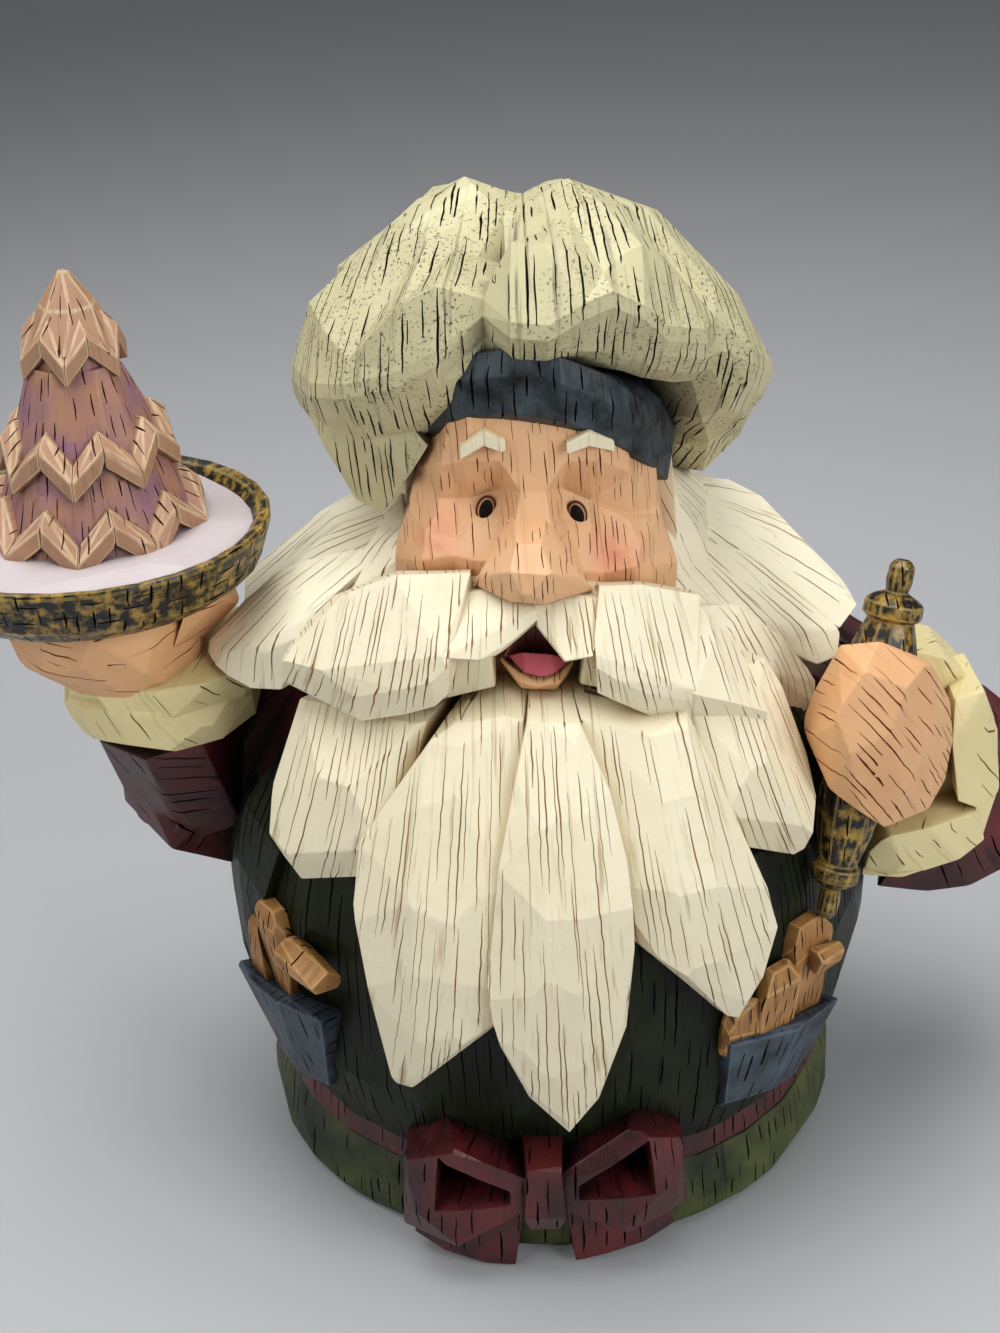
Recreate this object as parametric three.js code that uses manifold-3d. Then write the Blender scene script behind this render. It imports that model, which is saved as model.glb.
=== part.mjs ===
// A carved-looking santa in a baker's hat, cast in resin: a round bib-and-brace body with a long
// parted beard, a cake dish on one palm and a rolling pin in the other fist.
// Millimetres, +Z up, the figure looks along -Y. The origin is the middle of its flat underside.

import * as THREE from 'three';
import { ConvexGeometry } from 'three/addons/geometries/ConvexGeometry.js';
import { mergeVertices } from 'three/addons/utils/BufferGeometryUtils.js';
import Module from 'manifold-3d';

const wasm = await Module();
wasm.setup();

// Driving dimensions

const FIGURE_HEIGHT = 203;
const HEM_HEIGHT = 17;
const HEM_RADIUS = 61.5;
const SASH_HEIGHT = 6;
const SASH_RADIUS = 60;
const BELLY_RADIUS = 67;
const BELLY_SIDES = 26;
const STRAP_WIDTH = 15;
const STRAP_LIFT = 1.6;
const STRAP_SINK = 4;
const POCKET_LIFT = 3.6;

const HEAD_LEAN = 0.05;
const BEARD_LIFT = 1.8;
const LOCK_BEVEL = 5;

const HAT_CENTRE = [-1, 0];
const HAT_RADIUS = 45;

const DISH_CENTRE = [-85.5, -15.5];
const CAKE_CENTRE = [-82.5, -14.5];
const DISH_RADIUS = 35.5;
const DISH_RIM = 140.5;
const DISH_DEPTH = 11;
const DISH_WALL = 2.4;
const DISH_OVAL = 0.9;
const DISH_SIDES = 26;

const PIN_LOW = [51.5, -47, 69];
const PIN_HIGH = [65.5, -29, 135];
const PIN_BARREL = 6.2;
const PIN_SIDES = 9;

const GAP = 0.3;
const KNIFE = 0.15;
const SLIVER = 0.02;

// Belly outline as [height, radius], from the sash to the neck, with the trousers' top edge
const BELLY = [
  [19, 57], [22, 60.4], [30, 63.2], [40, 65.6], [50, BELLY_RADIUS], [61, BELLY_RADIUS],
  [73, 65.4], [85, 61.8], [86.5, 60], [96, 55.6], [106, 49], [115, 40], [122, 28],
];

// Front of the beard as [height, radius]: it swings out from the chin, then hangs straight
const BEARD_FRONT = [
  [38, 69.5], [48, 71], [62, 72.8], [76, 73.4], [91, 72], [108, 65.5], [118, 60], [128, 54],
];

// Small tools for faceted work

const vec = (x, y, z) => new THREE.Vector3(x, y, z);
const lerp = THREE.MathUtils.lerp;
const radians = THREE.MathUtils.degToRad;

// A point at an azimuth counted from the front, towards +X
function polar(azimuth, z, r) {
  return vec(r * Math.sin(radians(azimuth)), -r * Math.cos(radians(azimuth)), z);
}

// Straight-line reading of a [height, radius] outline
function radiusAt(outline, z) {
  const last = outline.length - 1;
  if (z <= outline[0][0]) return outline[0][1];
  if (z >= outline[last][0]) return outline[last][1];
  const i = outline.findIndex((station) => station[0] > z);
  const [z0, r0] = outline[i - 1];
  const [z1, r1] = outline[i];
  return lerp(r0, r1, (z - z0) / (z1 - z0));
}

// A steady uneven number between -1 and 1, for the knife's irregular facets
function uneven(i, j) {
  const wave = Math.sin(i * 12.9898 + j * 78.233) * 43758.5453;
  return 2 * (wave - Math.floor(wave)) - 1;
}

function signedVolume(position, index) {
  const corner = [vec(0, 0, 0), vec(0, 0, 0), vec(0, 0, 0)];
  let sum = 0;
  for (let i = 0; i < index.length; i += 3) {
    corner.forEach((c, k) => c.fromBufferAttribute(position, index[i + k]));
    sum += corner[0].dot(corner[1].cross(corner[2]));
  }
  return sum;
}

function solid(geometry) {
  geometry.deleteAttribute('normal');
  geometry.deleteAttribute('uv');
  const merged = mergeVertices(geometry, 1e-4);
  const index = Uint32Array.from(merged.index.array);
  if (signedVolume(merged.attributes.position, index) < 0) index.reverse();
  const vertProperties = merged.attributes.position.array;
  return new wasm.Manifold(new wasm.Mesh({ numProp: 3, vertProperties, triVerts: index }));
}

const join = (solids) => solids.reduce((whole, next) => whole.add(next));

// A convex lump with flat facets between its points, each point a little off as a knife leaves it
function lump(points) {
  const cut = points.map((p, i) => (
    vec(p.x + KNIFE * uneven(i, 1), p.y + KNIFE * uneven(i, 2), p.z + KNIFE * uneven(i, 3))));
  return solid(new ConvexGeometry(cut));
}

// A closed skin over rings of equally many points, capped at both ends
function skin(rings) {
  const count = rings[0].length;
  const points = rings.flat();
  const index = [];
  for (let j = 0; j < rings.length - 1; j += 1) {
    for (let i = 0; i < count; i += 1) {
      const a = j * count + i;
      const b = j * count + ((i + 1) % count);
      const flip = (i + j) % 2 === 0;
      if (flip) index.push(a, b, b + count, a, b + count, a + count);
      else index.push(a, b, a + count, b, b + count, a + count);
    }
  }
  const top = (rings.length - 1) * count;
  for (let i = 1; i < count - 1; i += 1) {
    index.push(0, i + 1, i);
    index.push(top, top + i, top + i + 1);
  }
  const geometry = new THREE.BufferGeometry().setFromPoints(points);
  geometry.setIndex(index);
  return solid(geometry);
}

// Rings around an upright axis, with facets that a twist turns a little from ring to ring
function roundSkin(stations, sides, rough, centre = [0, 0], twist = 0.5) {
  const rings = stations.map(([z, rx, ry = rx], j) => {
    const ring = [];
    for (let i = 0; i < sides; i += 1) {
      const angle = ((i + (j % 2) * twist) / sides) * 2 * Math.PI;
      const swell = rough * uneven(i, j);
      const x = centre[0] + (rx + swell) * Math.cos(angle);
      const y = centre[1] + (ry + swell) * Math.sin(angle);
      ring.push(vec(x, y, z));
    }
    return ring;
  });
  return skin(rings);
}

// Ring of points about a centre, in the plane across a direction
function crossRing(centre, direction, rx, ry, sides, turn = 0) {
  const along = direction.clone().normalize();
  const level = Math.abs(along.z) > 0.99 ? vec(0, 1, 0) : vec(0, 0, 1);
  const side = level.cross(along).normalize();
  const up = along.clone().cross(side);
  const ring = [];
  for (let i = 0; i < sides; i += 1) {
    const angle = ((i + turn) / sides) * 2 * Math.PI;
    const a = rx * Math.cos(angle);
    const b = ry * Math.sin(angle);
    ring.push(centre.clone().addScaledVector(side, a).addScaledVector(up, b));
  }
  return ring;
}

// Limbs are lumps over two rings across their length
function limb(from, to, r0, r1, sides = 8, turn = 0) {
  const direction = to.clone().sub(from);
  return lump([
    ...crossRing(from, direction, r0, r0, sides, turn),
    ...crossRing(to, direction, r1, r1, sides, turn),
  ]);
}

// Hem, sash, belly and braces

function makeBody() {
  const hem = roundSkin([
    [0, HEM_RADIUS - 1.2], [2, HEM_RADIUS], [9, HEM_RADIUS - 0.2], [HEM_HEIGHT, HEM_RADIUS - 2],
    [HEM_HEIGHT + 1, HEM_RADIUS - 6],
  ], BELLY_SIDES, 0.35, [0, 0], 0.2);
  const sash = roundSkin([
    [HEM_HEIGHT - 1.5, SASH_RADIUS - 1], [HEM_HEIGHT - 0.5, SASH_RADIUS],
    [HEM_HEIGHT + SASH_HEIGHT, SASH_RADIUS - 0.6], [HEM_HEIGHT + SASH_HEIGHT + 1, SASH_RADIUS - 4],
  ], BELLY_SIDES, 0.15, [0, 0], 0);
  const belly = roundSkin(BELLY, BELLY_SIDES, 0.3, [0, 0], 0.12);
  return join([hem, sash, belly, strap(1), strap(-1)]);
}

// A brace from the waist in front, over the shoulder, to the middle of the back
function strap(side) {
  const route = [
    [62, 72], [60, 84], [57, 96], [58, 107], [75, 115], [100, 117], [124, 111], [142, 101],
    [158, 88], [170, 74],
  ].map(([azimuth, z]) => polar(side * azimuth, z, radiusAt(BELLY, z)));
  const stations = route.map((p, i) => {
    const along = route[Math.min(i + 1, route.length - 1)].clone();
    along.sub(route[Math.max(i - 1, 0)]);
    const out = vec(p.x, p.y, 0).normalize().setZ(p.z > 100 ? (p.z - 100) / 12 : 0).normalize();
    const across = along.cross(out).normalize().multiplyScalar(STRAP_WIDTH / 2);
    return [-1, 1].flatMap((edge) => [STRAP_LIFT, -STRAP_SINK].map((lift) => (
      p.clone().addScaledVector(across, edge).addScaledVector(out, lift))));
  });
  return join(stations.slice(1).map((station, i) => lump([...stations[i], ...station])));
}

// Pockets with their biscuits

function makePocket({ azimuth, width, top, bottom, taper, drop }) {
  const lift = POCKET_LIFT;
  const at = (a, z, out) => polar(azimuth + a, z, radiusAt(BELLY, z) + out);
  const half = width / 2;
  const side = Math.sign(azimuth);
  const low = top - drop;
  return lump([
    at(-half * side, top, lift),
    at(half * side, low, lift),
    at(0, (top + low) / 2, lift + 1.2),
    at(-half * taper * side, bottom + 1.5, 1.6),
    at(half * taper * side, bottom - drop * 0.6, 1.6),
    at(0, bottom, 2.4),
    at(-half * side, top - 1, -3),
    at(half * side, low - 1, -3),
    at(-half * taper * side, bottom, -3),
    at(half * taper * side, bottom - drop * 0.6, -3),
  ]);
}

// A biscuit is a slab that leans on the belly, with a rounded top
function makeBiscuit({ azimuth, width, from, to, out, thick }) {
  const at = (a, z, r) => polar(azimuth + a, z, radiusAt(BELLY, z) + r);
  const half = width / 2;
  const points = [out, out + thick].flatMap((r) => [
    at(-half, from, r), at(half, from, r),
    at(-half, to - 4, r), at(half, to - 4, r),
    at(-half * 0.5, to, r - 0.6), at(half * 0.5, to, r - 0.6),
  ]);
  points.push(...[-half * 0.6, half * 0.6].map((a) => at(a, from + 2, -2)));
  return lump(points);
}

function makeRoll(from, to, radius) {
  return limb(from, to, radius, radius * 0.94, 8, 0.5);
}

function makePocketGoods() {
  const near = (azimuth, z, out) => polar(azimuth, z, radiusAt(BELLY, z) + out);
  return join([
    makePocket({ azimuth: -52, width: 25, top: 54, bottom: 30, taper: 0.62, drop: 3 }),
    makePocket({ azimuth: 41.5, width: 25, top: 52, bottom: 29, taper: 0.82, drop: 7 }),
    makeBiscuit({ azimuth: -54, width: 9, from: 46, to: 71, out: -0.5, thick: 3.6 }),
    makeBiscuit({ azimuth: -60, width: 8, from: 46, to: 63, out: -0.5, thick: 3.2 }),
    makeRoll(near(-54, 51, 1.2), near(-42.5, 58, 2.8), 3),
    makeBiscuit({ azimuth: 45, width: 10, from: 43, to: 69, out: -0.5, thick: 3.6 }),
    makeBiscuit({ azimuth: 38, width: 8, from: 43, to: 63, out: 0.4, thick: 3.6 }),
    makeBiscuit({ azimuth: 31, width: 7, from: 44, to: 56, out: 0.2, thick: 3.4 }),
    makeRoll(near(43, 53, 1.6), near(52.5, 57, 2.4), 2.6),
  ]);
}

// The sash's bow: two hollow loops, a knot and two tails

const BOW = { x: -3.5, y: -66, z: 22, loop: 27, flare: 19, lean: 0.09 };

function bowLoop(side) {
  const { loop, flare, lean } = BOW;
  const at = (out, up, back) => (
    vec(BOW.x + side * out, BOW.y + back, BOW.z + up + side * out * lean));
  const outer = lump([
    at(3, 4, -4), at(3, -4, -4), at(loop * 0.62, flare * 0.55, -4), at(loop * 0.6, -flare / 2, -5),
    at(loop, flare * 0.3, 1), at(loop * 1.02, -flare * 0.4, 1), at(loop * 0.92, -flare * 0.1, -3.4),
    at(3, 4, 10), at(3, -4, 10), at(loop * 0.7, flare * 0.55, 12), at(loop * 0.7, -flare / 2, 12),
    at(loop * 0.95, flare * 0.25, 15), at(loop * 0.95, -flare * 0.35, 15),
  ]);
  const mouth = lump([
    at(6, 2, -8), at(6, -1.8, -8), at(loop * 0.66, flare * 0.36, -9), at(loop * 0.7, -1.6, -9),
    at(8, 1.2, -0.2), at(8, -1, -0.2), at(loop * 0.56, flare * 0.2, 1.6), at(loop * 0.6, -1, 1.6),
  ]);
  return outer.subtract(mouth);
}

// A tail hangs from the knot nearly to the floor, and its outer end turns up
function bowTail(side) {
  const at = (out, z, back) => vec(BOW.x + side * out, BOW.y + back, z);
  return lump([
    at(4, 16, 0), at(12, 18, 1), at(6, 0.6, 0.2), at(12, 1, 0.6), at(20, 3, 2.4),
    at(26, 4.5, 6.5), at(23, 16, 8), at(5, 0.6, 9), at(23, 2.5, 11), at(4, 14, 11),
  ]);
}

function makeBow() {
  const knot = lump([-1, 1].flatMap((side) => [
    vec(BOW.x + side * 3.2, BOW.y - 6, BOW.z + 8), vec(BOW.x + side * 4, BOW.y - 6.4, BOW.z - 4),
    vec(BOW.x + side * 3, BOW.y - 4, BOW.z - 9), vec(BOW.x + side * 4.2, BOW.y + 8, BOW.z + 9),
    vec(BOW.x + side * 4.2, BOW.y + 8, BOW.z - 9),
  ]));
  return join([bowLoop(-1), bowLoop(1), bowTail(-1), bowTail(1), knot]);
}

// Arms: sleeve with its drapery fold, rolled cuff, hand

function makeServingArm() {
  const shoulder = vec(-40, 6, 106);
  const elbow = vec(-71, -1, 76);
  const wrist = vec(-75, -12, 102);
  const upperArm = limb(shoulder, elbow, 15, 15, 8, 0.5);
  const forearm = limb(elbow, wrist, 15.5, 15, 8, 0.2);
  const fold = lump([
    vec(-86, -8, 93), vec(-87, -5, 74), vec(-79, -3, 61), vec(-64, -8, 59), vec(-76, -18, 70),
    vec(-60, -17, 78), vec(-56, -16, 98), vec(-80, 8, 68), vec(-66, 8, 62), vec(-84, 4, 88),
  ]);
  const cuff = roundSkin([
    [99, 19, 15], [101, 21.5, 17], [110, 22, 17.5], [113, 20, 16],
  ], 10, 0.9, [-74, -11.5]);
  const palm = lump([
    ...crossRing(vec(-78, -12, 109), vec(0, 0, 1), 13, 16, 8),
    ...crossRing(vec(-83, -14, 120), vec(0, 0, 1), 17, 21, 9, 0.5),
    ...crossRing(vec(-84, -13.5, 128.6), vec(0, 0, 1), 15, 20, 9),
  ]);
  return join([upperArm, forearm, fold, cuff, palm, ...makeOpenFingers()]);
}

// Four fingers and a thumb spread under the dish
function makeOpenFingers() {
  const palmCentre = [-84, -13];
  return [-150, -122, -94, -66, 60].map((azimuth, i) => {
    const reach = i === 4 ? 21 : 24.5;
    const tip = polar(azimuth, 124.5, reach).add(vec(palmCentre[0], palmCentre[1], 0));
    const root = polar(azimuth, 120, 8).add(vec(palmCentre[0], palmCentre[1], 0));
    return limb(root, tip, 4.4, 3.6, 6, 0.5);
  });
}

function makePinArm() {
  const shoulder = vec(42, 8, 106);
  const elbow = vec(86, 8, 68);
  const wrist = vec(78, -14, 88);
  const upperArm = limb(shoulder, elbow, 15, 17, 8, 0.5);
  const bend = lump([
    vec(103, 2, 62), vec(100, -4, 50), vec(98, 16, 52), vec(80, -10, 47), vec(72, -2, 50),
    vec(76, 18, 54), vec(101, 6, 80), vec(92, 18, 84), vec(74, -12, 66), vec(94, -10, 78),
  ]);
  const forearm = limb(elbow, wrist, 16, 14, 8, 0.2);
  const towardsFist = vec(62, -36, 101).sub(vec(84, -9, 82));
  const cuffBack = vec(86, -7, 78);
  const cuffFront = vec(77, -19, 87);
  const cuff = lump([
    ...crossRing(cuffBack, towardsFist, 18, 20, 9, 0.3),
    ...crossRing(cuffBack.clone().lerp(cuffFront, 0.6), towardsFist, 20, 22, 9, 0.3),
    ...crossRing(cuffFront, towardsFist, 17, 19, 9, 0.3),
  ]);
  return join([upperArm, bend, forearm, cuff, makeFist()]);
}

// A closed hand is one blocky lump around the pin
function makeFist() {
  return lump([
    vec(66, -22, 115), vec(79, -24, 108), vec(79, -22, 92), vec(70, -24, 83), vec(77, -33, 103),
    vec(74, -36, 90), vec(68, -37, 84), vec(52, -30, 112), vec(49, -34, 103), vec(50, -34, 92),
    vec(60, -46, 113), vec(70, -44, 108), vec(71, -47, 96), vec(66, -48, 87), vec(50, -47, 106),
    vec(51, -50, 94), vec(58, -51, 88), vec(59, -52, 104),
  ]);
}

// Head, face and hair

function leanX(x, z) {
  return x + HEAD_LEAN * (150 - z);
}

const face = (x, y, z) => vec(leanX(x, z), y, z);

function makeHead() {
  const skull = lump([
    face(-21, -30, 168), face(20, -29, 166), face(-10, -36, 168), face(9, -36, 167),
    face(-23.5, -28, 153), face(22.5, -27, 151), face(-10, -36.2, 153), face(7, -36.2, 152),
    face(-26, -29, 141), face(24, -29, 138), face(-24, -32, 134), face(22, -32, 131),
    face(-13, -38, 141), face(9, -38, 139), face(-10, -41, 122), face(5, -41, 120),
    face(-22, 14, 165), face(22, 14, 163), face(-22, 16, 125), face(22, 16, 122),
  ]);
  const forehead = lump([
    face(-21, -30, 169), face(20, -29, 167), face(-9, -38.4, 169), face(8, -38.4, 168),
    face(-22.5, -31, 161), face(21.5, -30, 159.5), face(-15, -38.2, 161.5), face(-5, -38.8, 159.5),
    face(2.5, -38.8, 159), face(13, -38.2, 160.5), face(-20, -20, 160), face(19, -20, 159),
  ]);
  const lowerLip = lump([
    face(-9, -46, 128), face(3.6, -46, 127), face(-5.5, -51, 127), face(0.4, -51, 126.5),
    face(-2.8, -50, 121.5), face(-9, -41, 122), face(3, -41, 121),
  ]);
  return join([
    skull, forehead, cheek(-15.5, 145, -1), cheek(13.5, 142.5, 1), makeNose(), lowerLip,
    brow(-10.3, 165, -1), brow(8.8, 164, 1), eye(-10.3, 151.7), eye(6, 150.2),
  ]);
}

// A cheek turns from a broad upper plane, over a sharp edge, to a short plane facing down
function cheek(x, z, side) {
  const at = (out, y, up) => face(x + side * out, y, z + up);
  return lump([
    at(-6, -37.4, 8), at(7, -33, 8), at(-6, -42.2, 0), at(6, -39.5, 1.5), at(10.5, -32, 1),
    at(-6, -40.2, -5.5), at(7, -37.2, -5.5), at(11.2, -31, -5.5), at(-6, -33, 2), at(8, -27, 1),
    at(-6, -36, -9), at(8, -32, -9),
  ]);
}

function makeNose() {
  const bridge = lump([
    face(-5.4, -38, 158.5), face(1.4, -38, 158), face(-3.8, -40.6, 155), face(0.4, -40.6, 155),
    face(-5.6, -49.5, 147.8), face(2, -49.5, 147.2), face(-8, -42, 146), face(4.6, -42, 145.5),
    face(-2, -34, 150),
  ]);
  const ball = lump([
    face(-4.8, -49.5, 148), face(1.4, -49.5, 147.4), face(-5.6, -52.4, 143.5), face(2, -52.4, 143),
    face(-12, -46, 142.8), face(8.2, -46, 141), face(-12.4, -45, 139.5), face(8.6, -45, 137.8),
    face(-5.2, -50.5, 137.2), face(2.6, -50.5, 136.6), face(-8.5, -38, 146), face(5, -38, 145.5),
    face(-9, -38, 137), face(5.5, -38, 136),
  ]);
  return bridge.add(ball);
}

// A short eyebrow, arched over its inner part
function brow(x, z, side) {
  const at = (out, y, up) => face(x + side * out, y, z + up);
  return lump([
    at(-4, -37, -1.4), at(-3.8, -40, -0.8), at(-0.8, -40.3, 2.2), at(4, -39.4, -1.6),
    at(4.2, -37, -2.6), at(-0.4, -40, -0.6), at(-0.6, -36, 2.4), at(0, -35, -1.5),
  ]);
}

function eye(x, z) {
  const geometry = new THREE.SphereGeometry(1, 8, 6);
  geometry.scale(1.8, 1.5, 2.6);
  geometry.translate(leanX(x, z), -37.6, z);
  return solid(geometry);
}

// A convex slab with cut-back edges, from the corners of its front
function slab(front, depth, drop, swell = 0) {
  const middle = front.reduce((sum, p) => sum.add(p), vec(0, 0, 0)).divideScalar(front.length);
  const back = front.map((p) => {
    const out = p.clone().sub(middle).setY(0).normalize();
    return p.clone().addScaledVector(out, 1.2).add(vec(0, depth, -drop));
  });
  middle.y -= swell;
  return lump([...front, ...back, middle]);
}

// Each half of the moustache is a short inner lobe and a long outer one, with a nick between
function makeMoustache() {
  return join([
    slab([
      vec(-0.6, -51, 140.5), vec(-1.4, -53.5, 135.6), vec(-12.5, -57.6, 129.4),
      vec(-16, -57.6, 129), vec(-18, -51, 143),
    ], 9, 3),
    slab([
      vec(-2, -51, 140.5), vec(-1.2, -53.5, 135.6), vec(8.5, -58.2, 127), vec(13, -58.2, 125.4),
      vec(16, -51, 140.5),
    ], 9, 3),
    slab([
      vec(-9, -51.5, 143), vec(-26, -47, 142), vec(-47, -45, 131), vec(-46.5, -48, 127),
      vec(-36, -53.5, 122.5), vec(-19.5, -58, 124.8), vec(-16.5, -58.4, 129.5),
    ], 9, 4, BEARD_LIFT),
    slab([
      vec(7, -51.5, 141), vec(22, -47, 138.5), vec(35, -45, 131), vec(41, -48.5, 117),
      vec(37.5, -51, 112.5), vec(25.5, -57, 118.5), vec(12.5, -59, 125),
    ], 9, 4, BEARD_LIFT),
  ]);
}

// Beard locks hang from under the moustache. Each is given by the azimuth and height of its
// two root corners, its two widest corners, its two lower corners and its tip.
const BEARD_LOCKS = [
  { root: [-50, -32, 118], wide: [-53, -31, 98], low: [[-52, 88], [-32, 92]], tip: [-47, 82] },
  { root: [-27, -6, 124], wide: [-30, -9, 90], low: [[-29.5, 69], [-10.5, 70]], tip: [-25.3, 48] },
  { root: [-5, 3, 126], wide: [-9, 10.9, 92], low: [[-9.8, 69], [9.4, 61]], tip: [1.7, 42] },
  { root: [3, 26, 123], wide: [9.5, 33, 91], low: [[11.6, 85], [35.5, 73.5]], tip: [29, 57.5] },
  { root: [28, 47, 118], wide: [31, 51, 98], low: [[33, 92], [51.5, 85]], tip: [49, 79] },
];

function beardLock({ root, wide, low, tip }) {
  const outline = [
    [root[0], root[2]], [root[1], root[2]], [wide[0], wide[2]], [wide[1], wide[2]], ...low, tip,
  ];
  const front = outline.map(([a, z]) => polar(a, z, radiusAt(BEARD_FRONT, z)));
  const middle = (wide[0] + wide[1]) / 2;
  const back = outline.map(([a, z]) => {
    const spread = Math.sign(a - middle) * 1.2;
    const under = z < wide[2] - 3 ? LOCK_BEVEL : 0;
    return polar(a + spread, z - under, radiusAt(BELLY, z - under) - 3);
  });
  const ridge = [wide[2], (wide[2] + low[0][1]) / 2].map((z) => (
    polar(middle, z, radiusAt(BEARD_FRONT, z) + BEARD_LIFT)));
  return lump([...front, ...back, ...ridge]);
}

// Hair locks fan out from under the hat and rest on the shoulders
const HAIR_LOCKS = [
  { azimuth: -79, spread: 24, end: 66, top: 117, low: 104, crown: 130 },
  { azimuth: -104, spread: 28, end: 60, top: 114, low: 101, crown: 131 },
  { azimuth: -132, spread: 32, end: 57, top: 108, low: 94, crown: 130 },
  { azimuth: -161, spread: 32, end: 56, top: 104, low: 90, crown: 129 },
  { azimuth: 170, spread: 32, end: 55, top: 103, low: 88, crown: 129 },
  { azimuth: 140, spread: 32, end: 57, top: 106, low: 92, crown: 130 },
  { azimuth: 112, spread: 30, end: 56, top: 109, low: 96, crown: 127 },
  { azimuth: 90, spread: 26, end: 57, top: 112, low: 100, crown: 128 },
  { azimuth: 71, spread: 22, end: 59, top: 109, low: 97, crown: 123 },
];

function hairLock({ azimuth, spread, end, top, low, crown }) {
  const at = (a, z, r) => polar(azimuth + a * spread, z, r);
  return lump([
    at(-0.5, 141, 22), at(0.5, 141, 22), at(-0.42, crown, 40), at(0.42, crown, 40),
    at(0, crown + 2.4, 41), at(-0.36, top, end), at(0.3, top - 2, end + 1), at(0, top + 1, end + 2),
    at(-0.2, low, end - 7), at(0.16, low - 1.5, end - 8), at(-0.46, low + 4, 40),
    at(0.46, low + 4, 40), at(-0.4, 110, 22), at(0.4, 110, 22),
  ]);
}

function makeHair() {
  const nape = roundSkin([[100, 36], [118, 40], [134, 34], [146, 24]], 12, 0.8, [0, 6]);
  return join([nape, ...HAIR_LOCKS.map(hairLock), ...BEARD_LOCKS.map(beardLock)]);
}

// Hat: a leaning band with a puffed crown. The crown has a crease between each two puffs,
// and under its scalloped ridge it turns in to the band.

const BAND_FRONT = 169;
const BAND_TILT = [-0.19, -0.94];
const BAND_HEIGHT = 12;

function makeBand() {
  const sides = 14;
  const centre = [-1, -11];
  const ring = (grow, lift) => {
    const points = [];
    for (let i = 0; i < sides; i += 1) {
      const angle = (i / sides) * 2 * Math.PI;
      const x = centre[0] + (26 + grow) * Math.cos(angle);
      const y = centre[1] + (28 + grow) * Math.sin(angle);
      const z = BAND_FRONT + BAND_TILT[0] * (x - 3) + BAND_TILT[1] * (y + 38);
      points.push(vec(x, y, Math.max(z, 138) + lift));
    }
    return points;
  };
  return skin([ring(-6, 1.5), ring(0, 0), ring(0.8, BAND_HEIGHT * 0.5), ring(-1, BAND_HEIGHT)]);
}

// Puffs of the crown: the azimuth where each begins, the height of its ridge on either side of
// its middle, and the heights of its shoulder and top. Each ends at the crease of the next.
const PUFFS = [
  { from: -93, ridge: [179, 180], shoulder: 195.5, top: FIGURE_HEIGHT },
  { from: -52, ridge: [188, 192.5], shoulder: 199, top: FIGURE_HEIGHT - 1 },
  { from: -13, ridge: [185.5, 190.5], shoulder: 198, top: FIGURE_HEIGHT - 1 },
  { from: 30, ridge: [184, 183], shoulder: 189, top: 198 },
  { from: 62, ridge: [181, 179], shoulder: 184, top: 195 },
  { from: 100, ridge: [178, 179], shoulder: 187, top: 196 },
  { from: 140, ridge: [177, 176], shoulder: 187, top: 197 },
  { from: 180, ridge: [175, 177], shoulder: 187, top: 197 },
  { from: 222, ridge: [178, 180], shoulder: 188, top: 198 },
];
const CREASE_DEPTH = 5;

// One upright outline of the crown as [height, radius], from the band to the top.
// The crease share is 1 in a crease and 0 on a puff.
function crownOutline(azimuth, ridge, { shoulder, top }, crease) {
  const front = (Math.cos(radians(azimuth)) + 1) / 2;
  const across = Math.abs(Math.sin(radians(azimuth)));
  const right = Math.sin(radians(azimuth)) > 0;
  const dent = CREASE_DEPTH * crease;
  const brink = ridge - 7 * crease;
  const hang = lerp(127, 175, front ** 1.5) + (right ? 4 : -5) * across * (1 - front * 0.6);
  const ridgeRadius = HAT_RADIUS + 0.5 - (right ? 7 : 4.5) * across;
  return [
    [hang + 5, 14], [hang, lerp(28, 37, front)],
    [lerp(hang, brink, 0.3), lerp(39, 42.5, front) - dent * 0.3],
    [lerp(hang, brink, 0.62), HAT_RADIUS + 0.8 * across - dent * 0.6],
    [brink, ridgeRadius - dent * 0.7],
    [shoulder - 1.5 * crease, ridgeRadius - 11 - dent * 0.8],
    [lerp(shoulder, top, 0.7) - 3 * crease, 19 - dent * 0.5],
    [top - 1.5 - 2 * crease, 8],
  ];
}

// Columns stand in each crease and on both sides of each puff's middle
function makeCrown() {
  const columns = PUFFS.flatMap((puff, i) => {
    const last = i + 1 === PUFFS.length;
    const to = last ? PUFFS[0].from + 360 : PUFFS[i + 1].from;
    const column = (share, ridge, crease) => {
      const azimuth = lerp(puff.from, to, share);
      return { azimuth, outline: crownOutline(azimuth, ridge, puff, crease) };
    };
    const [ridge, nextRidge] = puff.ridge;
    return [column(0, ridge, 1), column(0.3, ridge, 0), column(0.7, nextRidge, 0)];
  });
  const rings = columns[0].outline.map((_, j) => columns.map(({ azimuth, outline }, i) => {
    const [z, r] = outline[j];
    const rough = j > 1 ? 0.5 * uneven(i, j) : 0;
    const point = polar(azimuth, z + rough, r + rough);
    return point.add(vec(HAT_CENTRE[0], HAT_CENTRE[1], 0));
  }));
  return skin(rings);
}

// The cake dish: a shallow bowl of icing with a stacked, tree-shaped cake

function makeDish() {
  const floor = DISH_RIM - DISH_DEPTH;
  const profile = [
    [0, floor], [17, floor], [24, floor + 1.5], [31, floor + 5], [DISH_RADIUS, DISH_RIM - 1],
    [DISH_RADIUS - 0.4, DISH_RIM], [DISH_RADIUS - DISH_WALL, DISH_RIM - 0.6],
    [29, DISH_RIM - 4.5], [0, DISH_RIM - 4],
  ].map(([r, z]) => new THREE.Vector2(r, z));
  const bowl = new THREE.LatheGeometry(profile, DISH_SIDES);
  bowl.rotateX(Math.PI / 2);
  bowl.scale(1, DISH_OVAL, 1);
  bowl.translate(DISH_CENTRE[0], DISH_CENTRE[1], 0);
  return solid(bowl);
}

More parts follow.
